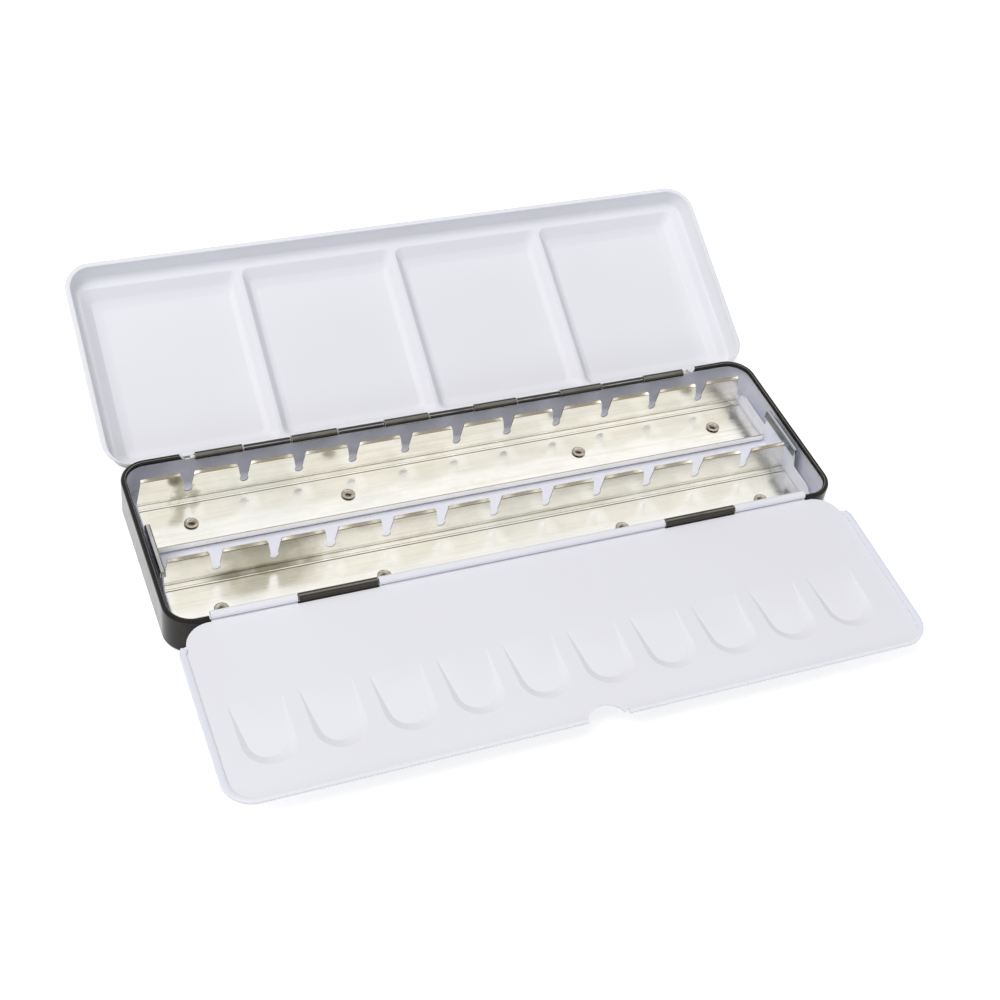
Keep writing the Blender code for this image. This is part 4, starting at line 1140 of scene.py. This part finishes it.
@dataclass
class PaletteFlap:
    """The palette flap with its hem, notch, thumb wells and tubes."""

    base: BaseTray
    droop: float = math.radians(2.29)
    side_inset: float = 0.0006
    reach: float = 0.0623
    corner: float = 0.0085
    hinge_radius: float = 0.0080
    hinge_narrowing: float = 0.0026
    hem_start: float = 0.0090
    hem_slope: float = 0.0020
    shoulder: float = 0.0017
    hem_width: float = 0.0015
    hem_height: float = 0.00055
    hem_proud: float = 0.00005
    hem_swell: float = 0.4
    notch_half: float = 0.0058
    notch_depth: float = 0.0046
    notch_shift: float = 0.0002
    nick: tuple[Point, ...] = ((0.0070, 0.06225), (0.00706, 0.0607), (0.0058, 0.0615))
    scoop_count: int = 10
    scoop_margin: float = 0.0077
    scoop_shift: float = -0.0018
    scoop_ridge: float = 0.00464
    scoop_front_margin: float = 0.0105
    scoop_length: float = 0.0223
    scoop_depth: float = 0.0015
    scoop_slope: float = 0.0034
    scoop_lip: float = 0.0002
    scoop_lip_rise: float = 0.00003
    scoop_tail: float = 0.0003
    scoop_tail_share: float = 0.03
    scoop_side: tuple[Point, ...] = (
        (0.03, 0.015), (0.07, 0.045), (0.12, 0.095), (0.84, 0.90), (0.92, 0.97), (1.0, 1.0)
    )
    seam: float = 0.00002

    @property
    def half_length(self) -> float:
        """Half the flap's length."""
        return self.base.length / 2 - self.side_inset

    @property
    def top(self) -> float:
        """Height of the plate's upper face over the hinge axis."""
        return -self.base.tubes.bore + self.seam

    @property
    def bottom(self) -> float:
        """Height of the plate's lower face."""
        return -self.base.tubes.radius - self.seam

    @property
    def scoop_pitch(self) -> float:
        """Distance from one thumb well to the next."""
        return (self.half_length - self.scoop_margin) * 2 / self.scoop_count

    def edge(self, inset: float) -> list[Point]:
        """Returns the free edge from the hem's start round to the front, as X and reach values."""
        half, reach, radius = self.half_length - inset, self.reach - inset, self.corner - inset
        start = [(half - self.hem_slope / 2, self.hem_start), (half, self.hem_start + self.hem_slope)]
        return start + arc((half - radius, reach - radius), radius, 0, math.pi / 2, 20)

    def outline(self) -> list[Point]:
        """Returns the outline of the plate, as X and reach values."""
        hinge_half = self.half_length - self.hinge_narrowing
        start_reach = self.base.tubes.radius + self.base.tubes.gap
        centre = (hinge_half - self.hinge_radius, self.shoulder + self.hinge_radius)
        corner = arc(centre, self.hinge_radius, -math.pi / 2, 0, 20)
        side = [(self.base.front_hinge, start_reach), (self.base.front_hinge, self.shoulder)]
        side += [point for point in corner if point[1] < self.hem_start]
        side += self.edge(self.hem_proud)
        radius = (self.notch_half**2 + self.notch_depth**2) / (2 * self.notch_depth)
        spread = math.asin(self.notch_half / radius)
        middle = (self.notch_shift, self.reach - self.hem_proud + radius - self.notch_depth)
        notch = arc(middle, radius, -math.pi / 2 + spread, -math.pi / 2 - spread, 24)
        notch = [point for point in notch if point[0] < self.nick[-1][0]]
        return side + list(self.nick) + notch + [(-x, reach) for x, reach in reversed(side)]

    def hem(self, shape: Shape, side: int) -> None:
        """Adds the folded hem of one half, swept along the free edge, wider and higher at the side, where it is in
        painted shade.
        """
        end = self.nick[0][0] if side > 0 else self.notch_half - self.notch_shift
        path = self.edge(0) + [(end, self.reach)]
        core = (self.top + self.bottom) / 2
        section = [(0.0, core), (0.0, self.top + self.hem_height * 0.4)]
        section += [(0.5 - 0.5 * math.cos(math.pi * step / 10), self.crown(step / 10)) for step in range(1, 10)]
        section += [(1.0, self.top + self.hem_height * 0.2), (1.0, core)]
        rings, slots = [], []
        for point, inward in sides_of(path):
            lateral = inward.normalized().x ** 2
            swell = 1 + self.hem_swell * lateral
            ring = []
            for across, height in section:
                spot = point + inward * self.hem_width * swell * across ** (1 + lateral)
                raised = height + max(height - self.top, 0.0) * (swell - 1)
                ring.append(Vector((side * spot.x, -spot.y, raised)))
            rings.append(ring)
            # the hem's sides take the painted shade enamel
            slots.append(int(lateral > 0.5))
        shape.loft(rings, slots[1:])

    def crown(self, share: float) -> float:
        """Returns the hem's height at a share of the way across it."""
        return self.top + self.hem_height * (0.4 + 0.6 * math.sin(math.pi * share) ** 0.5)

    def scoop(self, sheet: float) -> Shape:
        """Returns the space of one thumb well about X 0, or its underside where a sheet is given."""
        half = (self.scoop_pitch - self.scoop_ridge) / 2
        front = self.reach - self.scoop_front_margin
        fade, centre = front - self.scoop_length, front - half
        back = fade - self.scoop_tail
        face = self.bottom if sheet else self.top
        points = arc((0, centre), half, 0, math.pi, 24)
        points += [(-half, centre + (back - centre) * step / 6) for step in range(1, 7)]
        points += [(half, back + (centre - back) * step / 6) for step in range(6)]

        def ring(share: float, fall: float, grow: float, lift: float) -> Ring:
            result = []
            for across, reach in points:
                narrowed = max((reach - fade) / (front - fade), self.scoop_tail_share)
                outward = Vector((across, max(reach - centre, 0))).normalized()
                spot = Vector((across, reach)) + outward * (grow - self.scoop_slope * narrowed * share)
                depth = self.scoop_depth * (spot.y - fade) / (front - fade) * fall
                result.append(Vector((spot.x, -spot.y, face - depth + lift)))
            return result

        if sheet:
            rings = [ring(0.0, 0.0, sheet, self.top - self.bottom - sheet / 4)]
        else:
            rings = [ring(0.0, 0.0, self.scoop_lip, self.scoop_lip_rise)]
        rings += [ring(share, fall, sheet * (1 - share), 0.0) for share, fall in self.scoop_side]
        shape = Shape()
        shape.loft(rings)
        return shape

    def tube(self, shape: Shape, start: float, end: float) -> None:
        """Adds one tube of the flap, from start to end."""
        tubes = self.base.tubes
        leaf = tubes.straight(tubes.radius + tubes.gap + self.base.sink)
        shape.prism([(q, -p) for p, q in tubes.outline(leaf)], start, end, along_x)

    def build(self) -> None:
        """Builds the flap and its tubes, and hands them over."""
        place = Matrix.Translation(self.base.front_axis) @ Matrix.Rotation(self.droop, 4, "X")
        shape = Shape()
        shape.prism([(x, -reach) for x, reach in self.outline()], self.bottom, self.top, along_z)
        plate = shape.piece("flap_plate", [WHITE_ENAMEL])
        scoops = centred_row(self.scoop_count, self.scoop_pitch, self.scoop_shift)
        combine(plate, scoops.lay("scoop_backs", self.scoop(self.base.tubes.sheet), WHITE_ENAMEL), Cut.JOIN)
        combine(plate, scoops.lay("scoop_spaces", self.scoop(0.0), WHITE_ENAMEL), Cut.REMOVE)
        hems = Shape()
        for side in (-1, 1):
            self.hem(hems, side)
        combine(plate, hems.piece("flap_hems", [WHITE_ENAMEL, SHADED_HEM_ENAMEL]), Cut.JOIN)
        tubes = Shape()
        outer = self.base.front_hinge - self.base.front_end
        middle = outer - self.base.front_base
        self.tube(tubes, -middle, middle)
        for side in (-1, 1):
            self.tube(tubes, side * (outer + self.base.tubes.gap), side * self.base.front_hinge)
        combine(plate, tubes.piece("flap_tubes", [WHITE_ENAMEL]), Cut.JOIN)
        hand_over(plate, Body.FLAP, "white_enamel", ["mixing_flap"], place)


@dataclass
class PanRail:
    """A tinplate rail with its sprung tabs, its rib and its lip."""

    PLATE: ClassVar[int] = 0
    CREASE: ClassVar[int] = 1
    FLARE: ClassVar[int] = 2
    LIP: ClassVar[int] = 3
    EDGE: ClassVar[int] = 4

    name: str
    finish: Finish
    wall: float
    bottom: float
    top: float
    half_length: float
    sheet: float = 0.00035
    taper: float = 0.0017
    taper_rise: float = 0.0012
    depth: float = 0.0199
    lip_height: float = 0.0024
    lip_lean: float = 0.0003
    fold: float = 0.0007
    foot: float = 0.0011
    rib_width: float = 0.0007
    rib_height: float = 0.0003
    flare: float = 0.0006
    flare_height: float = 0.0009
    lean: float = 0.0002
    slot_count: int = 11
    end_tab: float = 0.0159
    slot_foot: float = 0.0037
    slot_mouth: float = 0.0023
    slot_top: float = 0.0019
    slot_neck: float = 0.00115
    slot_bulb: float = 0.00135
    neck_rise: float = 0.0024
    tab_stations: int = 10
    rivet_hole: float = 0.0014
    overrun: float = 0.002

    @property
    def pitch(self) -> float:
        """Distance from one slot to the next."""
        return (self.half_length - self.end_tab) * 2 / (self.slot_count - 1)

    def flare_share(self, along: float) -> float:
        """Returns how far the top edge is bent back at a place along the rail: most in the middle of a tab."""
        last = self.pitch * (self.slot_count - 1) / 2
        if abs(along) > last:
            share = (abs(along) - last) / self.end_tab
        else:
            share = (along + last) / self.pitch % 1.0
        return max(math.sin(math.pi * share), 0.0) ** 0.3

    def stations(self) -> list[float]:
        """Returns the places along the rail where its section is set, several in each tab."""
        steps, last = self.tab_stations, self.pitch * (self.slot_count - 1) / 2
        places = [-self.half_length + self.end_tab * step / steps for step in range(steps)]
        places += [-last + self.pitch * step / steps for step in range(steps * (self.slot_count - 1))]
        return places + [last + self.end_tab * step / steps for step in range(steps + 1)]

    def path(self, flare: float) -> tuple[list[Point], list[int]]:
        """Returns the middle line of the sheet, from the lip to the tabs, as Y and Z.

        Args:
            flare: How far the top edge is bent back.

        Returns:
            The points, and the finish of the sheet's upper face on the way to each next point.
        """
        floor = self.sheet / 2
        rise = self.top - self.bottom - self.sheet / 2
        lip = -self.depth + self.sheet / 2
        start = bend(
            [(lip - self.lip_lean, self.lip_height + self.sheet), (lip, floor), (lip + self.fold * 4, floor)],
            [self.fold * 0.8],
        )
        rib_end = -self.foot
        rib_start = rib_end - self.rib_width
        rib = [(rib_start - self.rib_width / 3, floor)]
        for step in range(13):
            share = step / 12
            crown = math.sin(math.pi * share) ** 1.2
            rib.append((rib_start + self.rib_width * share, floor + self.rib_height * crown))
        wall = bend(
            [
                (rib_end + self.foot / 6, floor),
                (0, floor),
                (self.lean, rise - self.flare_height),
                (self.lean + flare, rise),
            ],
            [self.foot / 4, self.flare_height / 2],
            8,
        )
        # the lip's faces take the painted shade tinplate
        marks = [self.LIP] * 3 + [self.PLATE] * (len(start) - 3)
        # the rib's edges take the painted crease shade
        marks += [self.CREASE] * 4 + [self.PLATE] * (len(rib) - 8) + [self.CREASE] * 4
        # the bent-back top takes the tab edge's painted dark reflection
        marks += [self.PLATE] * (len(wall) - 8) + [self.FLARE] * 8
        return [(self.wall + y, self.bottom + z) for y, z in start + rib + wall], marks[:-1]

    def plate(self) -> bpy.types.Object:
        """Builds the rail's bent sheet, with its top edge bent back in the middle of each tab."""
        rings = []
        marks: list[int] = []
        for along in self.stations():
            path, marks = self.path(self.flare * self.flare_share(along))
            rings.append([along_x(along, y, z) for y, z in sheet_outline(path, self.sheet)])
        edges = marks + [self.PLATE] * (len(marks) + 1) + [self.EDGE]
        shape = Shape()
        shape.loft(rings, edges=edges)
        return shape.piece(f"{self.name}_plate", [self.finish, *RAIL_FINISHES])

    def slot(self) -> Shape:
        """Returns the cutter of one slot about X 0: a bulb, a neck and a mouth that widens at the top."""
        foot = self.bottom + self.sheet + self.slot_foot
        centre = (0.0, foot + self.slot_bulb)
        opening = math.asin(self.slot_neck / self.slot_bulb)
        bulb = arc(centre, self.slot_bulb, math.pi / 2 + opening, math.tau + math.pi / 2 - opening, 28)
        side = bend(
            [
                (self.slot_neck, foot + self.neck_rise),
                (self.slot_top, self.top - self.flare_height),
                (self.slot_mouth, self.top - self.sheet / 2),
                (self.slot_mouth + self.sheet, self.top + self.overrun),
            ],
            [self.flare_height / 2, self.sheet / 2],
            6,
        )
        outline = bulb + side + [(-x, z) for x, z in reversed(side)]
        shape = Shape()
        shape.prism(outline, self.wall - self.overrun, self.wall + self.overrun, along_y)
        return shape

    def tapers(self) -> bpy.types.Object:
        """Builds the cutters that slant the outer edges of the two end tabs."""
        start = self.bottom + self.sheet + self.taper_rise
        above = self.top + self.overrun
        run = self.taper * (above - start) / (self.top - start)
        out = self.half_length + self.overrun
        shape = Shape()
        for side in (-1, 1):
            outline = [(self.half_length, start), (out, start), (out, above), (self.half_length - run, above)]
            placed = [(side * x, z) for x, z in outline]
            shape.prism(placed, self.wall - self.overrun, self.wall + self.overrun, along_y)
        return shape.piece("rail_tapers", [RAIL_EDGE])

    def build(self, rivets: Sequence[Point]) -> None:
        """Builds the rail and hands it over.

        Args:
            rivets: X and Y of the rivets that go through it.
        """
        rail = self.plate()
        combine(rail, centred_row(self.slot_count, self.pitch).lay("slots", self.slot(), RAIL_EDGE), Cut.REMOVE)
        combine(rail, self.tapers(), Cut.REMOVE)
        holes = Shape()
        for place in rivets:
            ring = arc(place, self.rivet_hole, 0, math.tau, 32)[:-1]
            holes.prism(ring, self.bottom - self.overrun, self.bottom + self.sheet + self.overrun, along_z)
        combine(rail, holes.piece("rivet_holes", [RAIL_EDGE]), Cut.REMOVE)
        hand_over(rail, Body.INSERT, "tinplate", [self.name])


@dataclass
class Insert:
    """The lift-out insert: its tray, rails, rivets and grips."""

    base: BaseTray
    sheet: float = 0.00035
    seat: float = 0.0003
    end_gap: float = 0.00345
    side_gap: float = 0.0004
    rail_end_gap: float = 0.0004
    rail_top_drop: float = 0.0008
    rear_rail_inset: float = 0.0054
    front_rail_inset: float = 0.0023
    rivet_end_inset: float = 0.0143
    rivet_spacing: float = 0.0496
    rear_setback: float = 0.0104
    front_setback: float = 0.0123
    shank: float = 0.0011
    rivet_bore: float = 0.0006
    head: float = 0.0022
    head_height: float = 0.00045
    tongue_rear: float = 0.0068
    tongue_front: float = 0.0115
    tongue_top_drop: float = 0.0017
    grip_sheet: float = 0.0004
    grip_height: float = 0.0024
    grip_overhang: float = 0.0006
    grip_corner: float = 0.00072

    @property
    def bottom(self) -> float:
        """Height of the tray's underside."""
        return self.base.sheet + self.seat

    @property
    def half_length(self) -> float:
        """Half the tray's length."""
        return self.base.length / 2 - self.end_gap

    @property
    def half_depth(self) -> float:
        """Half the tray's depth."""
        return self.base.depth / 2 - self.base.axis_inset - self.base.tubes.radius - self.side_gap

    def rails(self) -> tuple[PanRail, PanRail]:
        """Returns the rear rail and the front rail."""
        bottom = self.bottom + self.sheet + self.seat
        top = self.base.rim - self.rail_top_drop
        half = self.half_length - self.sheet - self.rail_end_gap
        rear_wall = self.half_depth - self.rear_rail_inset
        rear = PanRail("rear_pan_rail", REAR_PLATE, rear_wall, bottom, top, half)
        front_wall = rear.depth + self.front_rail_inset - self.half_depth
        return rear, PanRail("front_pan_rail", FRONT_PLATE, front_wall, bottom, top, half)

    def rivet(self, seat: float) -> Shape:
        """Returns one eyelet about the Z axis, with its head on the rail."""
        head, top = self.head_height, seat + self.head_height
        profile = [(self.rivet_bore, self.bottom), (self.shank, self.bottom), (self.shank, seat)]
        profile += [(self.head - head / 2, seat), (self.head - head / 8, seat + head / 8)]
        profile += [(self.head, seat + head / 3), (self.head - head / 5, seat + head * 0.6)]
        profile += [(self.head - head / 2, seat + head * 0.85), (self.head - head, top)]
        profile += [(self.shank + head * 0.9, top - head / 12), (self.shank + head / 4, top - head / 3)]
        profile += [(self.rivet_bore + head / 3, seat - head / 4), (self.rivet_bore, seat - head)]
        shape = Shape()
        shape.turn(profile, 40)
        return shape

    def build(self) -> None:
        """Builds the rails, the rivets and the grips."""
        rear, front = self.rails()
        outer = rear.half_length - self.rivet_end_inset
        places = (-outer, -outer + self.rivet_spacing, outer - self.rivet_spacing, outer)
        seat = rear.bottom + rear.sheet + self.seat
        for rail, setback, word in ((rear, self.rear_setback, "rear"), (front, self.front_setback, "front")):
            across = rail.wall - setback
            rail.build([(along, across) for along in places])
            for side, numbers in ((-1, (1, 2)), (1, (4, 3))):
                row = Row(2, (side * outer, across, 0.0), (-side * self.rivet_spacing, 0.0, 0.0))
                name = f"{word}_eyelets_{'left' if side < 0 else 'right'}"
                nodes = [f"rail_rivet_{word}_{number}" for number in numbers]
                hand_over(row.lay(name, self.rivet(seat), RIVET_STEEL), Body.INSERT, "rivet_steel", nodes, sharp=50)
        self.grips()

    def grips(self) -> None:
        """Builds the folded caps over the tray's tongues, with a painted highlight along the top fold and painted
        shade on the flanks.
        """
        middle = self.half_length - self.sheet / 2
        inner = self.sheet / 2 + self.seat
        outer = inner + self.grip_sheet
        under = self.base.rim - self.tongue_top_drop + self.seat
        top = under + self.grip_sheet
        foot = top - self.grip_height
        corner, inner_corner = self.grip_corner, self.seat / 2
        outline = [(outer, foot)]
        outline += arc((outer - corner, top - corner), corner, 0, math.pi / 2, 8)
        outline += arc((-outer + corner, top - corner), corner, math.pi / 2, math.pi, 8)
        # the top strip takes the painted highlight, the rest the painted shade
        marks = [1] * 7 + [0] * 5 + [1] * 7
        outline += [(-outer, foot), (-inner, foot)]
        outline += arc((-inner + inner_corner, under - inner_corner), inner_corner, math.pi, math.pi / 2, 4)
        outline += arc((inner - inner_corner, under - inner_corner), inner_corner, math.pi / 2, 0, 4)
        outline += [(inner, foot)]
        for name, side in (("left_grip", -1), ("right_grip", 1)):
            shape = Shape()
            placed = [(side * middle + x, z) for x, z in outline]
            start = -self.tongue_front - self.grip_overhang
            end = self.tongue_rear + self.grip_overhang
            rings = [[along_y(along, x, z) for x, z in placed] for along in (start, end)]
            shape.loft(rings, edges=marks + [1] * (len(placed) - len(marks)))
            hand_over(shape.piece(f"{name}_cap", [GRIP_LIT_TOP, GRIP_SHADED_SIDE]), Body.INSERT, "grip_steel", [name])


@dataclass
class PackedPieces:
    """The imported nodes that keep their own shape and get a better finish."""

    nodes: dict[str, bpy.types.Object]

    def dress(self) -> None:
        """Gives the tray of the insert its enamel with a painted shade tint, and the two pins their finishes."""
        for name, finish in (
            ("insert_tray", SHADED_TRAY_ENAMEL), ("lid_hinge_pin", PIN_STEEL), ("flap_hinge_pin", PIN_STEEL)
        ):
            node = self.nodes[name]
            node.data.materials.clear()
            node.data.materials.append(finish.material())
            LOG.info("%s keeps its shape", name)


@dataclass
class Studio:
    """The floor, the light and the camera."""

    camera_place: tuple[float, float, float] = (-0.17499, -0.34086, 0.37848)
    view_azimuth: float = math.radians(62.056)
    view_elevation: float = math.radians(-44.255)
    roll: float = math.radians(9.485)
    lens: float = 61.64
    floor_half: float = 3.0
    world_level: float = 0.405
    world_tint: tuple[float, float, float] = (0.95, 0.96, 1.0)

    def build(self) -> None:
        """Builds the whole studio."""
        self.camera()
        self.floor()
        self.world()
        self.lamp("key", (-0.95, -0.10, 1.88), (1.5, 1.5), 29.6, (1.0, 0.99, 0.97)).visible_glossy = False
        self.lamp("fill", (0.15, -1.00, 0.22), (0.7, 0.4), 1.9, (0.84, 0.89, 1.0)).visible_glossy = False
        for name, place, power in (
            ("upper strip", (0.35, 0.22, 0.95), 1.2), ("front strip", (0.35, -0.95, 0.22), 0.8)
        ):
            self.lamp(name, place, (1.2, 0.10), power, (1.0, 1.0, 1.0)).visible_diffuse = False
        bpy.context.scene.view_settings.view_transform = "Standard"

    def camera(self) -> None:
        """Adds the camera where the photograph was taken from."""
        data = bpy.data.cameras.new("camera")
        data.lens = self.lens
        data.sensor_width = 36.0
        data.clip_start = 0.01
        view = Vector((
            math.cos(self.view_elevation) * math.cos(self.view_azimuth),
            math.cos(self.view_elevation) * math.sin(self.view_azimuth),
            math.sin(self.view_elevation),
        ))
        turn = view.to_track_quat("-Z", "Y").to_matrix() @ Matrix.Rotation(self.roll, 3, "Z")
        camera = bpy.data.objects.new("camera", data)
        camera.matrix_world = Matrix.Translation(self.camera_place) @ turn.to_4x4()
        bpy.context.scene.collection.objects.link(camera)
        bpy.context.scene.camera = camera

    def floor(self) -> None:
        """Adds the white floor, which keeps the box's shadow."""
        half = self.floor_half
        mesh = bpy.data.meshes.new("floor")
        mesh.from_pydata([(-half, -half, 0), (half, -half, 0), (half, half, 0), (-half, half, 0)], [], [(0, 1, 2, 3)])
        floor = bpy.data.objects.new("floor", mesh)
        bpy.context.scene.collection.objects.link(floor)
        paper = bpy.data.materials.new("white paper")
        paper.use_nodes = True
        bench = NodeBench(paper.node_tree)
        shader = paper.node_tree.nodes["Principled BSDF"]
        shader.inputs["Base Color"].default_value = (0.86, 0.86, 0.86, 1.0)
        shader.inputs["Roughness"].default_value = 1.0
        shader.inputs["Specular IOR Level"].default_value = 0.0
        rays = bench.add("ShaderNodeLightPath")
        seen = bench.add("ShaderNodeMath", {"operation": "MAXIMUM"})
        bench.link(rays.outputs["Is Camera Ray"], seen.inputs[0])
        bench.link(rays.outputs["Is Glossy Ray"], seen.inputs[1])
        glow = bench.remap(seen.outputs[0], (0.0, 1.0), (0.0, 0.60))
        shader.inputs["Emission Color"].default_value = (1.0, 1.0, 1.0, 1.0)
        bench.link(glow, shader.inputs["Emission Strength"])
        mesh.materials.append(paper)

    def world(self) -> None:
        """Sets a plain world: white where it is seen or mirrored, a little lower as light."""
        world = bpy.data.worlds.new("studio")
        world.use_nodes = True
        bpy.context.scene.world = world
        bench = NodeBench(world.node_tree)
        background = world.node_tree.nodes["Background"]
        rays = bench.add("ShaderNodeLightPath")
        seen = bench.add("ShaderNodeMath", {"operation": "MAXIMUM"})
        bench.link(rays.outputs["Is Camera Ray"], seen.inputs[0])
        bench.link(rays.outputs["Is Glossy Ray"], seen.inputs[1])
        bench.link(bench.remap(seen.outputs[0], (0.0, 1.0), (self.world_level, 1.0)), background.inputs["Strength"])
        tint = bench.blend(seen.outputs[0], self.world_tint, (1.0, 1.0, 1.0))
        bench.link(tint, background.inputs["Color"])

    def lamp(
        self, name: str, place: tuple[float, float, float], size: Point, power: float,
        colour: tuple[float, float, float],
    ) -> bpy.types.Object:
        """Adds a lamp that faces the box and isn't seen itself.

        Args:
            name: Name of the lamp.
            place: Where it stands.
            size: Sides of its rectangle, the first one along the box.
            power: Its power in watts.
            colour: Its colour.

        Returns:
            The lamp.
        """
        data = bpy.data.lights.new(name, "AREA")
        data.shape = "RECTANGLE"
        data.size, data.size_y = size
        data.energy = power
        data.color = colour
        lamp = bpy.data.objects.new(name, data)
        back = Vector(place).normalized()
        side = (Vector((1, 0, 0)) - back * back.x).normalized()
        turn = Matrix((side, back.cross(side), back)).transposed()
        lamp.matrix_world = Matrix.Translation(place) @ turn.to_4x4()
        lamp.visible_camera = False
        bpy.context.scene.collection.objects.link(lamp)
        return lamp


def main() -> None:
    """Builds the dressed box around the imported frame."""
    logging.basicConfig(level=logging.INFO, format="%(name)s: %(message)s")
    for item in list(bpy.data.objects):
        bpy.data.objects.remove(item)
    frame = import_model()
    Studio().build()
    base = BaseTray(HingeTubes(gap=0.00035), HingeTubes(radius=0.00135, gap=0.0005))
    base.build()
    Lid(base, HingeTubes(radius=0.0010, gap=0.0005)).build()
    PaletteFlap(base).build()
    Insert(base).build()
    PackedPieces(frame["nodes"]).dress()


if __name__ == "__main__":
    main()
